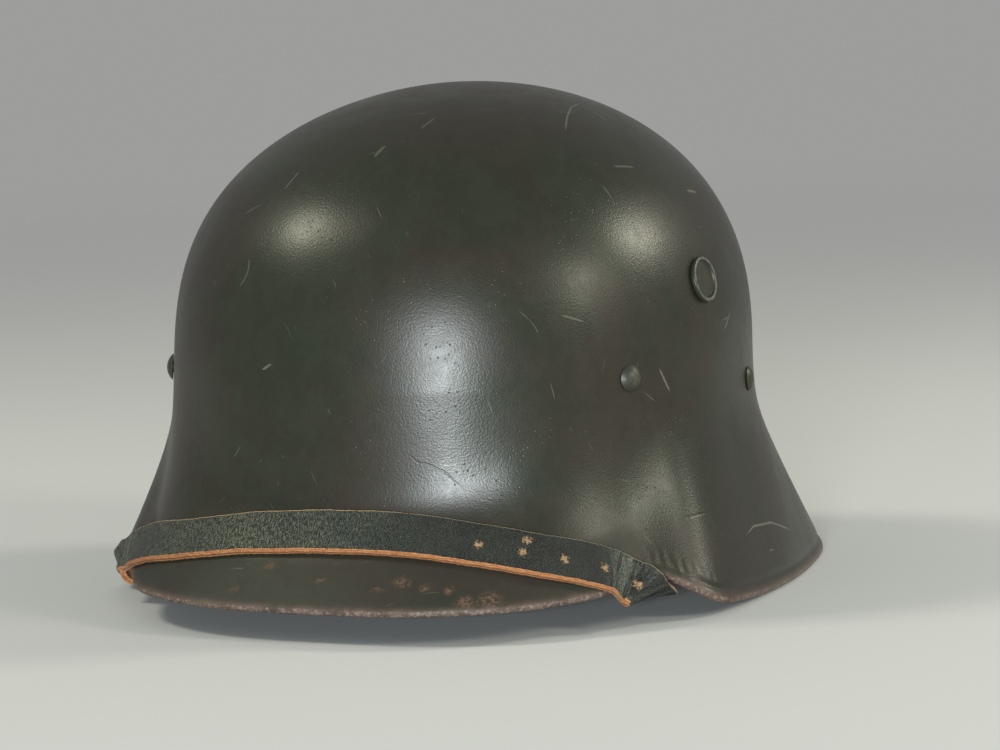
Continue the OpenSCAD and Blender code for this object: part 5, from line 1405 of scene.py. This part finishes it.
def wall_strip(name, z0, z1, outer, inner, rows, edge):
    """A strip of even thickness that follows the inside of the shell all the way round."""
    phi = np.arange(0, 360, 1.5)
    levels = np.linspace(z1, z0, rows + 1)
    rings = [under_skin(phi, np.full_like(phi, z), np.full_like(phi, outer)) for z in levels]
    rings += [under_skin(phi, np.full_like(phi, z), np.full_like(phi, inner)) for z in levels[::-1]]
    made = solid(name, np.vstack(rings), grid_quads(len(rings), len(phi), close_rows=True, close_cols=True))
    return soften(made, edge)


outer_band = wall_strip("outer_steel_band", BAND_LOW, BAND_LOW + BAND_H, BAND_OUT, BAND_IN, 8, 1.5e-4)
cut(outer_band, PIN_SEATS, RIVET_BORE_R, -0.006, 0.0)
shade(outer_band)
finish_piece(outer_band, "helmet", liner_steel, "liner_steel", "outer_band")
inner_band = wall_strip("inner_steel_band", BAND_LOW, BAND_LOW + BAND_H, INNER_OUT, INNER_IN, 8, 1.5e-4)
finish_piece(inner_band, "helmet", liner_steel, "liner_steel", "inner_band")

SPRING_TURN = 180 / math.pi / (HALF_WIDTH - BAND_IN)
SPRING_AZIMUTHS = (20, 84, 125, 160)
SPRING_CREST, SPRING_RUN, SPRING_FOOT = 0.005, 0.006, 0.006
SPRING_T, SPRING_SEAT = 0.0006, 0.0005
FOOT_TURN = (SPRING_CREST + SPRING_RUN + SPRING_FOOT / 2) * SPRING_TURN
FOOT_DEPTH = BAND_IN + SPRING_SEAT + SPRING_T / 2
CREST_DEPTH = INNER_OUT - SPRING_SEAT - SPRING_T / 2
SPRING_FACE = SPRING_T / 2 + CLOSE_SEAT
BAND_SHANK_R, BAND_HEAD_R = 0.001, 0.002


def small_rivet(name, shank_r, head_r, top, low):
    """A band rivet: a flat upset end outside, and a low domed head on the spring or the leather."""
    head = [(r, -z, p) for r, z, p in dome_profile(head_r, 0.0007, 0.0, 5)]
    rows = [(1e-4, top, 0.0), (shank_r, top, 0.2), (shank_r, low, 0.2), (head_r, low, 0.2)]
    return turned(name, rows + [(r, low + z, p) for r, z, p in head[::-1]], 20)


foot_seats = [on_skin(side * (phi + a), BAND_MID) for side in (-1, 1) for phi in SPRING_AZIMUTHS
              for a in (-FOOT_TURN, FOOT_TURN)]
crest_seats = [on_skin(side * phi, BAND_MID) for side in (-1, 1) for phi in SPRING_AZIMUTHS]
set_on(foot_seats, small_rivet("foot_rivet", BAND_SHANK_R, BAND_HEAD_R, -BAND_OUT, -FOOT_DEPTH - SPRING_FACE),
       "spring_foot_rivets", rivet_steel, "rivet_steel", "band_rivets", turn=3.0, seed=3)
set_on([s @ Matrix.Rotation(math.pi, 4, "X") for s in crest_seats],
       small_rivet("crest_rivet", BAND_SHANK_R, BAND_HEAD_R, INNER_IN, CREST_DEPTH - SPRING_FACE),
       "spring_crest_rivets", rivet_steel, "rivet_steel", "band_rivets", turn=3.0, seed=5)
LEATHER_RIVET_AZIMUTHS, LEATHER_RIVET_Z = (38, 66, 104, 143), BAND_LOW + 0.004
LEATHER_RIVET_R, LEATHER_HEAD_R = 0.0012, 0.0026
leather_seats = [on_skin(side * phi, LEATHER_RIVET_Z) for side in (-1, 1) for phi in LEATHER_RIVET_AZIMUTHS]
leather_rivet = small_rivet("leather_rivet", LEATHER_RIVET_R, LEATHER_HEAD_R, -INNER_OUT + CLOSE_SEAT,
                            -LEATHER_OUT - LEATHER_T - 0.0005)
set_on(leather_seats, leather_rivet, "liner_leather_rivets", rivet_steel, "rivet_steel", "leather_rivets", turn=3.0,
       seed=8)

felt_band = wall_strip("felt_band", BAND_LOW + 0.001, BAND_LOW + 0.015, FELT_OUT, FELT_IN, 8, 4e-4)
finish_piece(felt_band, "helmet", felt_wool, "felt", "felt_strip")

TONGUES = 8
HALF_PITCH = 180 / TONGUES
LEATHER_DROP, LEATHER_H = 0.007, 0.030
LEATHER_LOW = BAND_LOW - LEATHER_DROP
LEATHER_TOP = LEATHER_LOW + LEATHER_H
TONGUE_TOP, TONGUE_TIP_R, TONGUE_GAP = CROWN - 0.022, 0.017, 0.003
TONGUE_WAVE, TONGUE_CUP = 0.0007, 0.0011


def arch(phi, u):
    """Radius and height along a tongue, from its root to its tip."""
    root = radius(section(phi), LEATHER_TOP) - LEATHER_OUT
    return (mix(TONGUE_TIP_R, root, np.cos(np.pi / 2 * u) ** 0.9), mix(LEATHER_TOP, TONGUE_TOP, np.sin(np.pi / 2 * u)))


def tongue_half(phi, u):
    """Half of a tongue's width, in degrees of azimuth."""
    r = arch(phi, u)[0]
    tip = np.maximum(0, (u - 0.85) / 0.15)
    half = r * math.sin(math.radians(HALF_PITCH)) - TONGUE_GAP / 2
    return np.degrees(np.arcsin(half * np.sqrt(1 - 0.6 * tip * tip) / r))


def leather_at(phi, r, z):
    """A point of the leather by its azimuth, radius and height."""
    a = np.radians(phi)
    return np.stack(np.broadcast_arrays(r * np.sin(a), -r * np.cos(a) + LEAN * dome_part(z) - MIDDLE_Y, z), -1)


def make_liner_leather():
    """A band of leather with tongues that lean in to the lacing, each a little cupped and waved."""
    ring_rows, tongue_rows, cols = 12, 30, 19
    rows = ring_rows + tongue_rows + 1
    layers = []
    for depth in (0.0, LEATHER_T):
        columns = []
        for k in range(TONGUES):
            mid = (k + 0.5) * 360 / TONGUES
            for c in range(cols):
                f = 2 * c / (cols - 1) - 1
                z = np.linspace(LEATHER_LOW, LEATHER_TOP, ring_rows, endpoint=False)
                phi = np.full(ring_rows, mid + f * float(tongue_half(mid, 0.0)))
                low_part = under_skin(phi, z, np.full(ring_rows, LEATHER_OUT + depth))
                u = np.arange(tongue_rows + 1) / tongue_rows
                r, zz = arch(mid, u)
                r2, z2 = arch(mid, np.minimum(1, u + 0.01))
                r1, z1 = arch(mid, u - 0.01)
                d = unit(np.stack((r2 - r1, z2 - z1), -1))
                swell = np.sin(u * np.pi)
                wave = TONGUE_WAVE * swell * np.sin(f * 2.2 + k * 1.9) + TONGUE_CUP * swell * (f * f - 0.5)
                wave = wave * (1 + 0.3 * math.sin(k * 2.3))
                sink = depth + wave
                angle = mid + f * np.array([float(tongue_half(mid, v)) for v in u])
                columns.append(np.vstack((low_part, leather_at(angle, r - d[:, 1] * sink, zz + d[:, 0] * sink))))
        layers.append(np.stack(columns))
    points = np.concatenate(layers).reshape(-1, 3)
    total = TONGUES * cols
    inner = total * rows
    faces = []
    for c in range(total):
        a, b = c * rows, (c + 1) % total * rows
        gap = c % cols == cols - 1
        top = ring_rows if gap else rows - 1
        for r in range(top):
            faces.append((a + r, b + r, b + r + 1, a + r + 1))
            faces.append((inner + a + r, inner + a + r + 1, inner + b + r + 1, inner + b + r))
        faces.append((a, inner + a, inner + b, b))
        faces.append((a + top, b + top, inner + b + top, inner + a + top))
        if gap:
            for r in range(ring_rows, rows - 1):
                faces.append((a + r, a + r + 1, inner + a + r + 1, inner + a + r))
                faces.append((b + r, inner + b + r, inner + b + r + 1, b + r + 1))
    return solid("liner_leather", points, faces)


LACE_U = 0.93
LACE_R, LACE_PLAY, LACE_HOLE_R = 0.0008, 0.0006, 0.0021
LACE_RING_R, LACE_TOP = (float(v) for v in arch(0, LACE_U))
LACE_Z = LACE_TOP - LEATHER_T / 2
liner = make_liner_leather()
lace_middle = Matrix.Translation(leather_at(0, 0, TONGUE_TOP).tolist())
lace_seats = [lace_middle @ Matrix.Rotation(math.radians((k + 0.5) * 360 / TONGUES), 4, "Z")
              @ Matrix.Translation((0, -LACE_RING_R, 0)) for k in range(TONGUES)]
cut(liner, lace_seats, LACE_HOLE_R, -0.008, 0.008, 20)
soften(liner, 3e-4, 2, 60)
shade(liner, 50)
finish_piece(liner, "helmet", liner_leather, "liner_leather", "leather_liner")


def make_cord_tree():
    """Lays a twisted cord of rounded strands along a closed path."""
    tree, given, out = new_group("twisted_cord", "GeometryNodeTree", [
        ("Path", "Geometry", None), ("Radius", "Float", 8e-4), ("Strand Depth", "Float", 0.16),
        ("Turns", "Float", 60.0), ("Material", "Material", None)], [("Cord", "Geometry")])
    line = node(tree, "GeometryNodeMeshToCurve", {"Mesh": given["Path"]}).outputs[0]
    even = node(tree, "GeometryNodeResampleCurve", {"Curve": line, "Count": 900}).outputs[0]
    share = node(tree, "GeometryNodeSplineParameter").outputs["Factor"]
    tilt = times(tree, share, times(tree, given["Turns"], 2 * math.pi))
    twisted = node(tree, "GeometryNodeSetCurveTilt", {"Curve": even, "Tilt": tilt}).outputs[0]
    ring = node(tree, "GeometryNodeCurvePrimitiveCircle", {"Resolution": 15, "Radius": given["Radius"]}).outputs[0]
    at = node(tree, "GeometryNodeInputPosition").outputs[0]
    parts = node(tree, "ShaderNodeSeparateXYZ", {0: at}).outputs
    lobes = calc(tree, "COSINE", times(tree, calc(tree, "ARCTAN2", parts["Y"], parts["X"]), 3.0))
    size = add(tree, 1.0, times(tree, lobes, given["Strand Depth"]))
    scaled = node(tree, "ShaderNodeVectorMath", {0: at, "Scale": size}, operation="SCALE").outputs[0]
    profile = node(tree, "GeometryNodeSetPosition", {"Geometry": ring, "Position": scaled}).outputs[0]
    cord = node(tree, "GeometryNodeCurveToMesh", {"Curve": twisted, "Profile Curve": profile}).outputs[0]
    real = node(tree, "GeometryNodeRealizeInstances", {"Geometry": cord}).outputs[0]
    finished = node(tree, "GeometryNodeSetMaterial", {"Geometry": real, "Material": given["Material"]}).outputs[0]
    tree.links.new(finished, out["Cord"])
    return tree


def path_object(points):
    """A closed loop of edges through the points."""
    mesh = bpy.data.meshes.new("path")
    count = len(points)
    mesh.from_pydata(points.tolist(), [(i, (i + 1) % count) for i in range(count)], [])
    return add_object("path", mesh)


lace_a = np.arange(0, 360, 1.5)
lace_rise = LEATHER_T / 2 + LACE_R + LACE_PLAY
lace_z = LACE_Z + lace_rise * np.clip(4 * np.sin(np.radians((lace_a - HALF_PITCH) * TONGUES / 2)), -1, 1)
lace_path = np.column_stack((LACE_RING_R * np.sin(np.radians(lace_a)),
                             -LACE_RING_R * np.cos(np.radians(lace_a)) + LEAN * dome_part(LACE_Z) - MIDDLE_Y, lace_z))
path = path_object(lace_path)
lacing = run_tree(make_cord_tree(), path, "tongue_lacing", Material=lacing_cotton, Turns=44.0, Radius=0.00075)
bpy.data.objects.remove(path)
shade(lacing, 80)
finish_piece(lacing, "helmet", None, "lacing", "liner_lacing")


# ---------------------------------------------------------------- fibres

def make_fibre_tree():
    """Scatters short bent fibres over the faces that a kept number picks, standing off the surface."""
    tree, given, out = new_group("loose_fibres", "GeometryNodeTree", [
        ("Surface", "Geometry", None), ("Fibre", "Object", None), ("Density", "Float", 1e5), ("Pick", "String", ""),
        ("Least", "Float", 0.5), ("Spread", "Float", 1.0), ("Short", "Float", 0.5), ("Long", "Float", 1.2),
        ("Seed", "Int", 1), ("Material", "Material", None)], [("Fibres", "Geometry")])
    kept = node(tree, "GeometryNodeInputNamedAttribute", {"Name": given["Pick"]}, data_type="FLOAT").outputs[0]
    picked = node(tree, "FunctionNodeCompare", {0: kept, 1: given["Least"]}, data_type="FLOAT",
                  operation="GREATER_EQUAL").outputs[0]
    spots = node(tree, "GeometryNodeDistributePointsOnFaces", {
        "Mesh": given["Surface"], "Selection": picked, "Density": given["Density"], "Seed": given["Seed"]}).outputs
    fibre = node(tree, "GeometryNodeObjectInfo", {"Object": given["Fibre"]}).outputs["Geometry"]
    wide = node(tree, "ShaderNodeCombineXYZ", {0: given["Spread"], 1: given["Spread"], 2: math.pi}).outputs[0]
    back = node(tree, "ShaderNodeVectorMath", {0: wide, "Scale": -1.0}, operation="SCALE").outputs[0]
    swing = node(tree, "FunctionNodeRandomValue", {0: back, 1: wide, "Seed": given["Seed"]},
                 data_type="FLOAT_VECTOR").outputs[0]
    lean = node(tree, "FunctionNodeEulerToRotation", {0: swing}).outputs[0]
    stand = node(tree, "FunctionNodeRotateRotation", {0: spots["Rotation"], 1: lean}, rotation_space="LOCAL").outputs[0]
    size = node(tree, "FunctionNodeRandomValue", {2: given["Short"], 3: given["Long"], "Seed": given["Seed"]},
                data_type="FLOAT").outputs[1]
    placed = node(tree, "GeometryNodeInstanceOnPoints", {"Points": spots["Points"], "Instance": fibre,
                                                         "Rotation": stand, "Scale": size}).outputs[0]
    real = node(tree, "GeometryNodeRealizeInstances", {"Geometry": placed}).outputs[0]
    finished = node(tree, "GeometryNodeSetMaterial", {"Geometry": real, "Material": given["Material"]}).outputs[0]
    tree.links.new(finished, out["Fibres"])
    return tree


def fibre_shape(length, thick, bow):
    """One bent fibre that tapers to its tip."""
    rows = []
    for i in range(4):
        t = i / 3
        for q in (0, 2 * math.pi / 3, 4 * math.pi / 3):
            r = thick / 2 * (1 - 0.75 * t)
            rows.append((bow * length * t * t + r * math.cos(q), r * math.sin(q), length * t - thick * 0.3))
    faces = grid_quads(4, 3, close_cols=True).tolist() + [(0, 1, 2), (11, 10, 9)]
    return solid("fibre", np.array(rows), faces)


def fibres(name, surface, length, thick, bow, material, slot, **inputs):
    """Loose fibres over part of a surface, as a piece of their own."""
    one = fibre_shape(length, thick, bow)
    made = run_tree(fibre_tree, surface, name, Fibre=one, Material=material, **inputs)
    bpy.data.objects.remove(one)
    return finish_piece(made, "helmet", None, slot)


def make_loose_tan():
    """The tan fibres that stand off cut leather."""
    made, tree, shader, at = new_material("loose_tan")
    base = place_group(tree, cloudy_tone, {"Vector": at, "Cloud Scale": 300.0, "Speckle Scale": 3000.0, "Speckle": 0.5,
                                           "Tone": colour("7d5a40"), "Other Tone": colour("a98560")})
    streak = noise(tree, at, 1800.0, 3.0, 0.6)
    rough = add(tree, 0.78, times(tree, streak, 0.12))
    finish_shader(tree, shader, base["Colour"], rough, times(tree, streak, 5e-5))
    return made


fibre_tree = make_fibre_tree()
loose_tan = make_loose_tan()
note(felt_band, "whole", np.ones(len(felt_band.data.vertices)))
fibres("felt_fuzz", felt_band, 0.0011, 6e-5, 0.5, felt_wool, "felt", Pick="whole", Density=160000.0, Spread=1.1,
       Seed=11)
fibres("strap_edge_fibres", strap, 0.0005, 6e-5, 0.7, loose_tan, "strap_leather", Pick="cut_edge", Least=0.9,
       Density=900000.0, Spread=1.2, Seed=21)
fibres("strap_hole_fibres", strap, 0.0010, 1.0e-4, 0.9, loose_tan, "strap_leather", Pick="torn", Least=0.62,
       Density=3500000.0, Spread=1.3, Short=0.5, Long=1.3, Seed=31)

# ---------------------------------------------------------------- CAD nodes that keep their own mesh

for name, material in (("band_springs", spring_steel), ("bail_bracket_left", bail_steel),
                       ("bail_bracket_right", bail_steel), ("bail_left", bail_steel), ("bail_right", bail_steel),
                       ("buckle_frame", buckle_steel), ("buckle_roller", buckle_steel), ("buckle_prong", buckle_steel)):
    nodes[name].data.materials.clear()
    nodes[name].data.materials.append(material)

# ---------------------------------------------------------------- floor, lights and camera

BACKDROP_GREY = (0.34, 0.34, 0.335, 1)
FLOOR_R, FLOOR_SIDES = 60, 96
FADE_FROM, FADE_TO = 0.45, 1.9
LAMPS_AIM_Z = 0.08


def make_ground():
    """A pale floor that fades, away from the helmet, into the plain grey of the studio round it."""
    made, tree, shader, at = new_material("pale_floor")
    soft = noise(tree, at, 3.0, 3.0, 0.5)
    feed(tree, shader, {"Base Color": blend(tree, soft, colour("c6c8ca"), colour("cdcfd0")),
                        "Roughness": add(tree, 0.7, times(tree, soft, 0.1)), "Specular IOR Level": 0.2})
    away = span(tree, vector_calc(tree, "LENGTH", at, (0, 0, 0), out=1), FADE_FROM, FADE_TO)
    fade = node(tree, "ShaderNodeMixShader", {"Fac": calc(tree, "POWER", away, 0.8)})
    glow = node(tree, "ShaderNodeEmission", {"Color": BACKDROP_GREY, "Strength": 1.0})
    tree.links.new(shader.outputs[0], fade.inputs[1])
    tree.links.new(glow.outputs[0], fade.inputs[2])
    finish = next(n for n in tree.nodes if n.type == "OUTPUT_MATERIAL")
    tree.links.new(fade.outputs[0], finish.inputs["Surface"])
    turns = [2 * math.pi * i / FLOOR_SIDES for i in range(FLOOR_SIDES)]
    rim = [(FLOOR_R * math.cos(a), FLOOR_R * math.sin(a), 0.0) for a in turns]
    mesh = bpy.data.meshes.new("floor")
    mesh.from_pydata(rim, [], [tuple(range(FLOOR_SIDES))])
    mesh.materials.append(made)
    floor = add_object("floor", mesh)


def softbox(name, toward, distance, wide, high, watts, tint=(1, 1, 1)):
    """A soft light that looks at the helmet from that direction."""
    lamp = bpy.data.lights.new(name, "AREA")
    lamp.shape, lamp.size, lamp.size_y, lamp.energy, lamp.color = "RECTANGLE", wide, high, watts, tint
    made = add_object(name, lamp)
    d = Vector(toward).normalized()
    made.location = Vector((0, -MIDDLE_Y, LAMPS_AIM_Z)) + d * distance
    made.rotation_euler = d.to_track_quat("Z", "Y").to_euler()
    made.visible_camera = False


make_ground()
softbox("right_softbox", (0.731, 0.483, 0.482), 1.5, 0.3, 0.3, 8.6, (1.0, 0.98, 0.8))
softbox("flap_softbox", (0.92, -0.077, 0.385), 1.6, 0.35, 0.35, 7.4, (1.0, 0.98, 0.8))
softbox("left_softbox", (-0.60, -0.33, 0.73), 1.5, 0.3, 0.3, 8.4, (1.0, 0.97, 0.78))
softbox("front_softbox", (0.34, -0.94, 0.045), 2.1, 0.3, 0.4, 72.0, (0.9, 0.98, 1.0))

world = bpy.data.worlds.new("studio")
bpy.context.scene.world = world
world.use_nodes = True
sky = world.node_tree.nodes["Background"]
sky.inputs["Color"].default_value = BACKDROP_GREY
sky.inputs["Strength"].default_value = 1.0


# The photograph's camera: its angles, its distance from a point on the helmet's middle line and that point's height,
# its focal length in picture widths, and how far the picture is shifted, also in picture widths
CAMERA_YAW, CAMERA_RISE, CAMERA_ROLL = (math.radians(angle) for angle in (25.07, 6.49, -1.76))
CAMERA_AWAY, TARGET_Z = 1.6044, 0.0829
FILM_WIDTH, FOCAL_SHARE = 36, 4.6452
SHIFT_X, SHIFT_Y = 0.03432, -0.03437


def make_camera():
    """The photograph's camera: to the wearer's left of straight ahead, and a little above."""
    back = Vector((math.sin(CAMERA_YAW) * math.cos(CAMERA_RISE), -math.cos(CAMERA_YAW) * math.cos(CAMERA_RISE),
                   math.sin(CAMERA_RISE)))
    level = (-back).cross(Vector((0, 0, 1))).normalized()
    upright = level.cross(-back)
    right = level * math.cos(CAMERA_ROLL) + upright * math.sin(CAMERA_ROLL)
    up = upright * math.cos(CAMERA_ROLL) - level * math.sin(CAMERA_ROLL)
    lens = bpy.data.cameras.new("camera")
    lens.sensor_width, lens.lens = FILM_WIDTH, FOCAL_SHARE * FILM_WIDTH
    lens.shift_x, lens.shift_y = SHIFT_X, SHIFT_Y
    made = add_object("camera", lens)
    made.matrix_world = seat_from(right, up, back, Vector((0, -MIDDLE_Y, TARGET_Z)) + back * CAMERA_AWAY)
    bpy.context.scene.camera = made


make_camera()
bpy.context.scene.view_settings.view_transform = "Standard"
